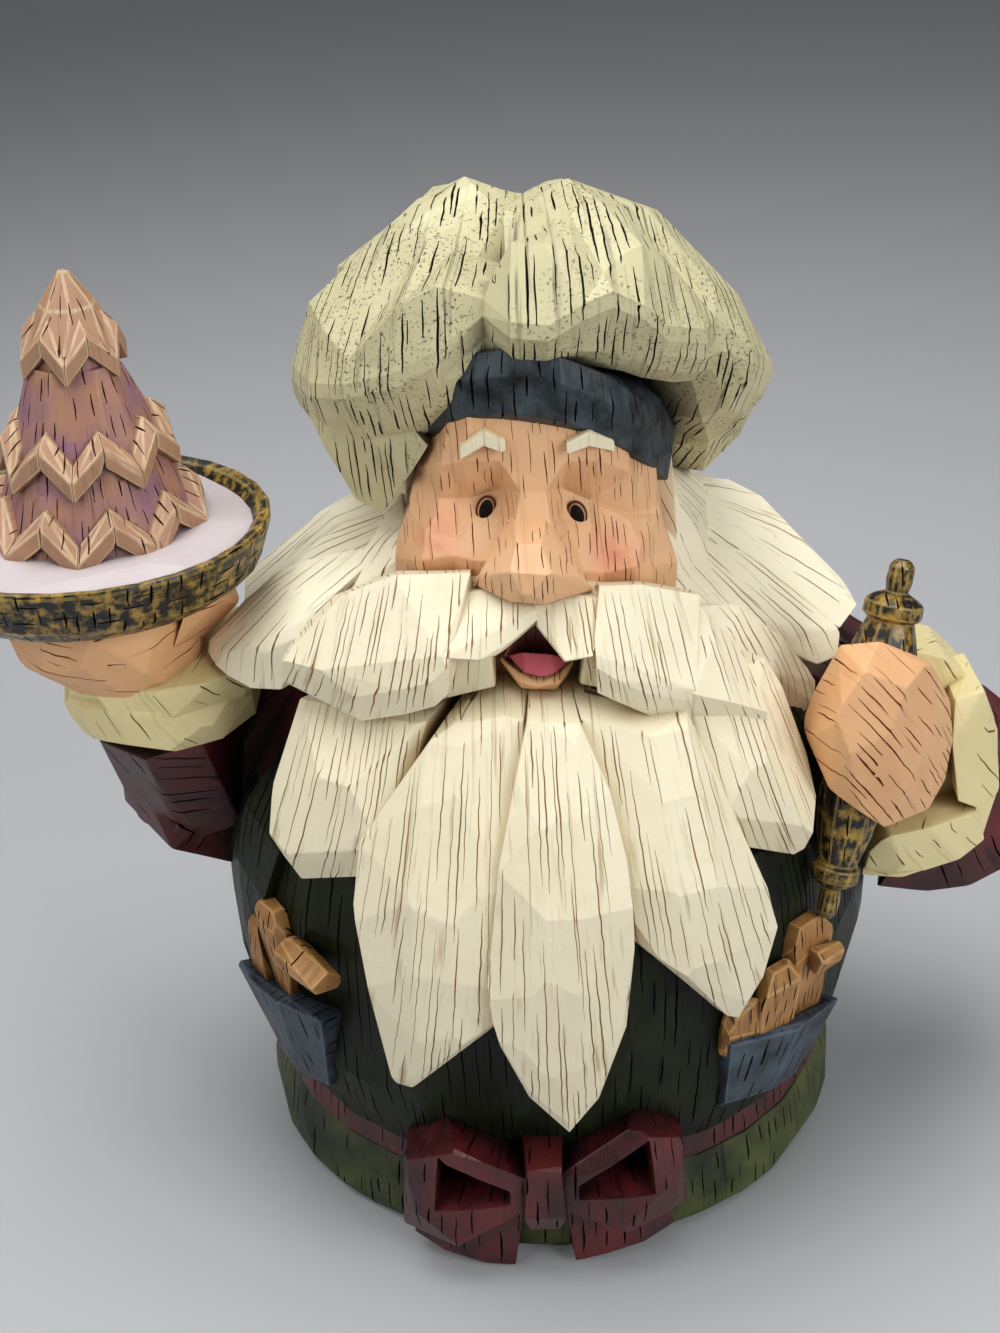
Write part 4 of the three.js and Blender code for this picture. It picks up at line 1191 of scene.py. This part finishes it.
# Beard locks, each by its outline as (azimuth, height), how far it stands out from the beard's
# front, and how deep its thick end is cut under at its left and right
BEARD_LOCKS = [
    dict(outline=[(-48, 117), (-22, 119), (-48.8, 99), (-47.4, 93.5), (-42.5, 91.5), (-26, 98)],
         lift=0.4, under=(10, 10)),
    dict(outline=[(-4.6, 121.4), (-13, 123), (-24, 109), (-29.6, 99), (-30, 83.6), (-28.3, 70),
                  (-26, 48.7), (-23.2, 49), (-14.5, 66), (-6, 75), (-5, 96)],
         lift=1.4, under=(3, 9)),
    dict(outline=[(-4, 122), (4.6, 121.6), (-6, 112), (-8, 99), (-9.8, 74.4), (-8.4, 65),
                  (-4.6, 52.7), (1.1, 43), (5.4, 52), (9.2, 68.7), (10.8, 92), (8.3, 111)],
         lift=3.6, under=(4, 5)),
    dict(outline=[(5, 121.4), (23.6, 120), (27, 105), (31.4, 87), (33, 78), (30.8, 68),
                  (28, 63.5), (26, 65.3), (19.7, 77.5), (10, 91)],
         lift=1, under=(13, 6)),
    dict(outline=[(22, 122), (44, 122), (46, 116), (47.2, 107), (46.3, 98), (42.8, 92),
                  (39.4, 94.5), (27, 101)],
         lift=-0.8, under=(10, 10)),
]
# Heights at which a lock's front bends
BEARD_BREAKS = (118, 108, 92, 77, 62)


def beard_lock(outline, lift, under, seed):
    edges = [a for a, _ in outline]
    left, right = min(edges), max(edges)
    top, low = max(z for _, z in outline), min(z for _, z in outline)
    points = [polar(a, z, read_outline(BEARD_FRONT, z) + lift - 0.5) for a, z in outline]
    for a, z in outline:
        share = (a - left) / (right - left)
        drop = lerp(*under, share) * min(max((lerp(low, top, 0.6) - z) / 4, 0), 1)
        end = z - 0.7 * drop
        reach = lerp(read_outline(BEARD_FRONT, end), read_outline(BELLY, end), 0.4)
        points.append(polar(a, end, reach + lift))
        points.append(polar(lerp(left - 1, right + 1, share), z - drop,
                            read_outline(BELLY, z - drop) - 3))
    for z in BEARD_BREAKS:
        if low + 8 < z < top - 3:
            for share in (0.4, 0.62):
                points.append(polar(lerp(left, right, share), z,
                                    read_outline(BEARD_FRONT, z) + lift + 1.4))
    return block(points, cuts=9, depth=0.8, seed=seed, ease=0.45)


def make_beard():
    beard = fuse("beard", [beard_lock(seed=90 + i, **lock) for i, lock in enumerate(BEARD_LOCKS)])
    score(beard, FAN, gap=1.05, length=(14, 60), width=0.26, depth=0.26, seed=96, limit=12000)
    dress(beard, BEARD_COATS, FAN)


# Locks at the back, each by its azimuth, its spread in degrees, how far out it ends, the heights
# of its end's upper and lower edge, and the height at which it leaves the hat
HAIR_LOCKS = [
    (-100, 30, 60, 115, 101, 132), (-128, 32, 58, 109, 95, 131), (-156, 32, 57, 105, 91, 130),
    (176, 32, 56, 103, 88, 129), (148, 32, 57, 106, 92, 130), (120, 32, 57, 109, 96, 131),
]

# Locks beside the face, each given by its corners: from the hat's rim out over the shoulder
SIDE_LOCKS = [
    [(-30, 2, 137), (-35, -2, 135.6), (-39.4, -4, 133.6), (-51.4, -9, 127), (-54.6, -11, 125.5),
     (-64.4, -19, 119), (-64.5, -21, 116), (-56, -16, 108), (-36, -6, 116), (-26, -8, 120),
     (-30, -22, 134)],
    [(-28, -21, 138), (-33.6, -18, 137), (-39.7, -16, 134.8), (-50.5, -14.5, 130),
     (-57, -15.5, 124.8), (-64.8, -20.5, 119), (-64.5, -22.5, 117), (-59.4, -28.4, 115.5),
     (-54.8, -32, 114.6), (-49, -34, 115.2), (-59.8, -26.4, 122), (-55.8, -29.4, 122.6),
     (-50.8, -32.4, 126), (-42.7, -34, 130), (-46, -20, 112), (-30, -24, 122)],
    [(24, 8, 137), (38.5, 13, 133.5), (45, 12, 130), (51, 8, 124.3), (61.5, 5, 113.5),
     (63.4, 1, 110.4), (59, -4, 107.5), (56, 5, 102), (40, 10, 110), (26, 12, 116),
     (22, -8, 134), (42, -6, 118)],
    [(22, -14, 134), (25, -12, 133), (38, -4, 128), (44.8, -4, 120.6), (59.6, -8, 109.4),
     (58.6, -11, 105.6), (53.8, -15, 106), (48, -17, 110.5), (38, -21, 116.6), (26, -26, 124),
     (50, -6, 100), (34, -8, 110), (24, -14, 120)],
    [(-24.5, -27, 141), (-25, -29.5, 134), (-27, -31, 127), (-40, -30, 127), (-35, -20, 136.5),
     (-26, -10, 144), (-22, -14, 124), (-30, -6, 124), (-22, -12, 142)],
    [(24, -27, 128), (37, -23, 124), (46, -19, 116), (52.4, -19, 104.5), (52, -21, 100.5),
     (47.4, -24.5, 99.5), (42.5, -28.5, 112), (32, -34, 119), (44, -14, 97), (30, -20, 108)],
]


def hair_lock(azimuth, spread, end, top, low, crown):
    def at(a, z, r):
        return polar(azimuth + a * spread, z, r)
    return block([
        at(-0.5, 141, 22), at(0.5, 141, 22), at(-0.42, crown, 40), at(0.42, crown, 40),
        at(0, crown + 2.4, 41), at(-0.4, top, end), at(0.34, top - 2, end + 1),
        at(0, top + 1, end + 2), at(-0.3, low, end - 7), at(0.26, low - 1.5, end - 8),
        at(-0.48, low + 4, 40), at(0.48, low + 4, 40), at(-0.4, 110, 22), at(0.4, 110, 22)],
        cuts=12, depth=1.2, seed=int(azimuth) + 300, ease=0.6)


# The hair over the side of the head, below the band
TEMPLE = [(24.5, -13, 151), (25.5, -12, 140), (26, -16, 128), (25, 2, 152), (27.5, 2, 126),
          (23, 16, 150), (25, 16, 126), (10, -8, 148), (10, 14, 148), (14, -12, 128),
          (14, 14, 126)]
HAIR_GRAIN = 50


def make_hair():
    nape = turned([(100, 36), (118, 40), (134, 34), (146, 24)], 12, (0, 6), cuts=6, seed=100)
    sides = [block(points, cuts=9, depth=0.9, seed=310 + i, ease=0.5)
             for i, points in enumerate(SIDE_LOCKS)]
    temples = [block([(side * x, y, z) for x, y, z in TEMPLE], cuts=5, depth=0.7,
                     seed=320 + side, ease=0.5) for side in (-1, 1)]
    hair = fuse("hair", [nape] + [hair_lock(*lock) for lock in HAIR_LOCKS] + sides + temples)
    grain = grain_spread((0, 0), HAIR_GRAIN)
    score(hair, grain, gap=1.4, length=(10, 40), width=0.3, depth=0.3, seed=101)
    dress(hair, HAIR_PAINTED_LIGHT_COATS, grain, once_round(HAIR_GRAIN))


# Hat

BAND_CENTRE = (-1, -11)
BAND_RADII = (25.6, 31)
BAND_SIDES = 18
# The height of its lower edge in front, the x of that place, and how that edge falls to the sides
# and to the back, down to its lowest
BAND_FRONT = 169.6
BAND_FRONT_X = 6
BAND_SLOPE = (-0.19, -0.94)
BAND_LOW = 149
# Its rings as (growth of the radii, lift)
BAND_HEIGHT = 12
BAND_RINGS = [(-6, 1.5), (0, 0), (0.8, BAND_HEIGHT / 2), (-1, BAND_HEIGHT)]
BAND_GRAIN = 27


def make_band():
    points = []
    for grow, lift in BAND_RINGS:
        for i in range(BAND_SIDES):
            angle = 2 * math.pi * i / BAND_SIDES
            x = (BAND_RADII[0] + grow) * math.cos(angle)
            y = (BAND_RADII[1] + grow) * math.sin(angle)
            z = BAND_FRONT + BAND_SLOPE[0] * (x - BAND_FRONT_X)
            z += BAND_SLOPE[1] * (y + BAND_RADII[1])
            points.append((x + BAND_CENTRE[0], y + BAND_CENTRE[1], max(z, BAND_LOW) + lift))
    band = block(points, cuts=9, depth=0.4, seed=112, ease=0.4)
    band.name = "hat_band"
    grain = grain_around(BAND_CENTRE, BAND_GRAIN)
    score(band, grain, gap=1.8, length=(4, 9), width=0.4, depth=0.5, seed=111)
    dress(band, BAND_COATS, grain, once_round(BAND_GRAIN))


# Front of the crown from left to right, as (azimuth, height of its lower rim, height and radius
# of its scalloped ridge, height and radius of the brow above it, and how much of a crease it is)
CROWN_FRONT = [
    (-90, 149, 167, 44.4, 178, 41, 0), (-76, 151, 167, 44.8, 181, 40.6, 0),
    (-60, 154, 168, 45.6, 180, 42, 0), (-46, 158.5, 171, 46, 177.5, 44, 0),
    (-31, 164, 175.5, 46, 189, 43, 0), (-22, 168.5, 180, 46, 193, 42.5, 0),
    (-12, 174.5, 187.5, 45.5, 191.5, 42, 1), (-5, 177, 186, 46, 199.5, 38, 0),
    (3, 177, 185.3, 46, 199, 38, 0), (10, 178, 188.4, 46, 197.5, 38.5, 0),
    (17, 176.5, 189.5, 45.6, 194, 41.5, 0.2), (24, 175, 186.5, 45, 196, 38, 0),
    (30, 173, 182, 45, 196.5, 37, 0), (42, 170, 179, 44, 190, 37, 0),
    (53, 168, 178, 43, 187, 36, 0.45), (61, 159, 171, 44.6, 184, 37, 0),
    (75, 151, 165, 45.6, 180, 38.6, 0),
]
# The columns behind: first and last azimuth, the step between, and which of them are creases
CROWN_BACK = (92, 258, 16.6)
BACK_CREASES = (1, 4, 7, 10)
CREASE_DEPTH = 8
# The crease over the top, from front to back: the rows of a column that it reaches, its depth,
# half width and place, and how that place drifts towards the front
TOP_CREASE_ROW = 7
TOP_CREASE = 11
TOP_CREASE_WIDTH = 13
TOP_CREASE_X = -3
TOP_CREASE_DRIFT = 0.15
# The hat's outline against the sky as (x, height), falling towards the back
CREST = [(-47, 150), (-45, 166), (-43.5, 173), (-41, 181), (-39.9, 184), (-35.2, 188.3),
         (-29.6, 192), (-23.2, 196.3), (-17.7, 202), (-14.2, 203), (-11.4, 202.8), (-8.2, 200.8),
         (-3.6, 198), (-0.4, 200), (3.1, 201.6), (5.8, 202), (10, 200.5), (15.3, 198.5),
         (20.6, 196.6), (23.7, 194.7), (27.7, 190), (29.5, 187.2), (34.8, 185.8), (37.7, 180.5),
         (39.6, 175.7), (41.6, 170), (44.2, 163), (46, 150)]
CREST_Y = -10
CREST_FALL = 0.29
# The lobe that hangs beside the face
HAT_LOBE = [
    (-42.1, -14, 162.5), (-39.1, -20, 158.1), (-36.0, -20, 151.5), (-33.7, -20, 146.6),
    (-28.5, -24, 145.8), (-23.5, -31, 155.5), (-19.6, -33, 162.2), (-23.7, -30, 166.4),
    (-35.1, -24, 167.0)]


def crown_stations():
    """Every column of the crown, with even puffs behind."""
    first, last, step = CROWN_BACK
    behind = []
    for i in range(round((last - first) / step) + 1):
        azimuth = first + step * i
        far = (1 - math.cos(math.radians(azimuth))) / 2
        hang = lerp(151, 131, far)
        crease = 1 if i in BACK_CREASES else 0
        behind.append((azimuth, hang, hang + 24, 45 - 2 * crease, hang + 42, 41, crease))
    return CROWN_FRONT + behind


def crown_column(azimuth, hang, ridge, ridge_radius, brow, brow_radius, crease):
    """One upright outline of the crown, from inside the band to the top."""
    front = max(0, math.cos(math.radians(azimuth)))
    dent = CREASE_DEPTH * crease
    outline = [
        (hang + 5, 14), (hang, lerp(33, 37, front)),
        (lerp(hang, ridge, 0.3), lerp(40, 40.5, front) - dent * 0.3),
        (lerp(hang, ridge, 0.68), lerp(44, 43.2, front) - dent * 0.6),
        (ridge, ridge_radius - dent * 0.7), (ridge + 2.6, ridge_radius - 0.2 - dent * 0.8),
        (brow, brow_radius - dent), (lerp(brow, HAT_TOP, 0.65), 24 - dent * 0.5),
        (HAT_TOP, 11), (HAT_TOP, 1)]
    column = []
    for j, (z, r) in enumerate(outline):
        point = polar(azimuth, z, r) + Vector((*HAT_CENTRE, 0))
        if j >= TOP_CREASE_ROW:
            valley = TOP_CREASE_X + TOP_CREASE_DRIFT * min(point.y, 0)
            sink = TOP_CREASE * lerp(0.5, 1, min(max(-point.y - 5, 0) / 20, 1))
            point.z -= sink * max(0, 1 - abs(point.x - valley) / TOP_CREASE_WIDTH)
        crest = read_outline(CREST, point.x) - CREST_FALL * (point.y - CREST_Y)
        point.z = min(point.z, crest)
        column.append(point)
    return column


def make_crown():
    columns = [crown_column(*station) for station in crown_stations()]
    crown = ring_skin("hat_crown", [list(ring) for ring in zip(*columns)], 0.6)
    behind = [(x * 0.9, y + 20, z + 3) for x, y, z in HAT_LOBE]
    crown = fuse("hat_crown", [crown, block(HAT_LOBE + behind, cuts=6, depth=1, seed=131)])
    grain = grain_around((-1, 90), 100)
    score(crown, grain, gap=1.3, length=(7, 28), width=0.38, depth=0.55, seed=130, limit=14000)
    dress(crown, HAT_COATS, grain)


# Dish and cake

# From the middle of the underside out over the rim and into the well, as (height, radius)
DISH_STATIONS = [
    (128.9, 6), (128.8, 20), (130.2, 28), (134, 33), (DISH_RIM - 1, DISH_RADIUS),
    (DISH_RIM, DISH_RADIUS - 0.4), (DISH_RIM - 0.6, DISH_RADIUS - 2.4), (DISH_RIM - 5.5, 29),
    (DISH_RIM - 6, 6)]
DISH_GRAIN = 30
DISH_SIDES = 28


def make_dish():
    dish = lathe("dish", DISH_STATIONS, DISH_SIDES, 0.35, DISH_CENTRE, DISH_OVAL)
    grain = grain_around(DISH_CENTRE, DISH_GRAIN)
    around = grain_straight((0, 0, 1), (1, 0, 0))
    for way, gap, length, seed in ((around, 2, (3, 8), 140), (grain, 2.2, (2.5, 5), 142)):
        score(dish, way, gap=gap, length=length, width=0.45, depth=0.4, seed=seed,
              where=lambda p, n: n.z < 0.6)
    dress(dish, GOLD_COATS, grain, once_round(DISH_GRAIN), "cake_dish")


def make_icing_bed():
    icing = turned([(DISH_RIM - 7, 24), (DISH_RIM - 1.6, 33.6), (DISH_RIM - 0.2, 29),
                    (DISH_RIM + 0.8, 20)], 26, DISH_CENTRE, DISH_OVAL, cuts=60, depth=0.8,
                   seed=141, ease=0.6)
    icing.name = "icing"
    grain = grain_straight((1, 0, 0), (0, 1, 0))
    dress(icing, ICING_COATS, grain, node="cake_dish")


# The cake's tiers, each by its heights, radii and collar of icing: the collar's middle height, the
# number of its points, how far they hang and how thick they are
TIERS = [
    dict(low=134, high=157, r_low=22, r_high=14, icing=145.2, points=9, drip=6, thick=2.2),
    dict(low=152, high=174, r_low=15.5, r_high=8.5, icing=158.5, points=8, drip=5.5, thick=2.4),
    dict(low=170, high=183, r_low=9, r_high=5, icing=177.2, points=6, drip=5, thick=2.1),
]
CAKE_PEAK = [(177, 8.8), (184, 5.2), (190, 1)]
CAKE_GRAIN = 15


def zigzag(low, high, r_low, r_high, icing, points, drip, thick, seed):
    """A collar of icing that runs up and down around a tier, one block for each slope."""
    lumps = []
    count = points * 2
    for i in range(count):
        corners = []
        for k in (i, i + 1):
            angle = 360 * k / count
            swing = (0.5 if k % 2 else -0.5) * drip
            for rise, out in ((-3, thick * 0.7), (-3, -3), (0.6, thick + 0.5), (3, thick * 0.4),
                              (3, -3)):
                z = icing + swing + rise
                r = lerp(r_low, r_high, (z - low) / (high - low)) + out
                corners.append(polar(angle, z, r) + Vector((*CAKE_CENTRE, 0)))
        lumps.append(block(corners, cuts=2, depth=0.4, seed=seed + i, ease=0.35))
    return lumps


def make_cake():
    drums = [turned([(t["low"], t["r_low"]), (t["high"], t["r_high"])], 14, CAKE_CENTRE, cuts=14,
                    depth=0.7, seed=150 + i) for i, t in enumerate(TIERS)]
    cake = fuse("cake", drums)
    grain = grain_around(CAKE_CENTRE, CAKE_GRAIN)
    score(cake, grain, gap=1.5, length=(3, 9), width=0.35, depth=0.45, seed=155)
    dress(cake, CAKE_COATS, grain, once_round(CAKE_GRAIN), "cake_dish")
    lumps = []
    for i, tier in enumerate(TIERS):
        lumps += zigzag(seed=160 + 20 * i, **tier)
    lumps.append(turned(CAKE_PEAK, 7, CAKE_CENTRE, cuts=4, depth=0.4, seed=159))
    collars = fuse("cake_icing", lumps)
    score(collars, grain, gap=1.5, length=(2, 6), width=0.32, depth=0.4, seed=156)
    dress(collars, TAN_COATS, grain, once_round(CAKE_GRAIN), "cake_dish")


# One half of the pin from the tip of its handle to its middle, as (place along it, radius)
PIN_HALF = [(0, 1.4), (1.2, 2.4), (4, 2.5), (6, 2.1), (7, 4.2), (8, 5.5), (10.4, 5.6),
            (11.2, 4.4), (13, 5), (17, PIN_BARREL), (24, PIN_BARREL)]
# The lower half is slimmer, up to the barrel
PIN_SLIM = 0.84
PIN_SIDES = 12


def make_pin():
    low, high = Vector(PIN_LOW), Vector(PIN_HIGH)
    axis = (high - low).normalized()
    length = (high - low).length
    stations = [(along, r * PIN_SLIM) for along, r in PIN_HALF[:-1]] + PIN_HALF[-1:]
    stations += [(length - along, r) for along, r in reversed(PIN_HALF)]
    pin = lathe("rolling_pin_turned", stations, PIN_SIDES, 0.3)
    turn = axis.to_track_quat("Z", "Y").to_matrix().to_4x4()
    pin.data.transform(Matrix.Translation(low * MM) @ turn)
    grain = grain_straight((1, 0, 0), axis)
    score(pin, grain, gap=1.8, length=(3, 7), width=0.4, depth=0.4, seed=170)
    dress(pin, GOLD_COATS, grain, node="rolling_pin")


# Floor

def make_floor():
    clear()
    bpy.ops.mesh.primitive_plane_add(size=FLOOR_SIZE, location=(0, 0, -FLOOR_DROP))
    floor = bpy.context.object
    floor.name = "floor"
    n = Nodes("floor_grey")
    n.shader.inputs["Base Color"].default_value = tone(*FLOOR_TONE)
    n.shader.inputs["Roughness"].default_value = FLOOR_ROUGHNESS
    floor.data.materials.append(n.material)


make_camera()
light_studio()
make_floor()
make_hem()
make_trousers()
make_shirt()
make_sash()
make_pocket("left_pocket", -52, 25, 54, 30, 0.62, 3)
make_pocket("right_pocket", 40.5, 26.5, 52, 29, 0.82, 7)
make_biscuits()
make_cuffs()
make_serving_hand()
make_pin_hand()
face_tree = make_face()
make_mouth()
make_brows(face_tree)
make_eyes(face_tree)
make_moustache()
make_beard()
make_hair()
make_band()
make_crown()
make_dish()
make_icing_bed()
make_cake()
make_pin()
clear()
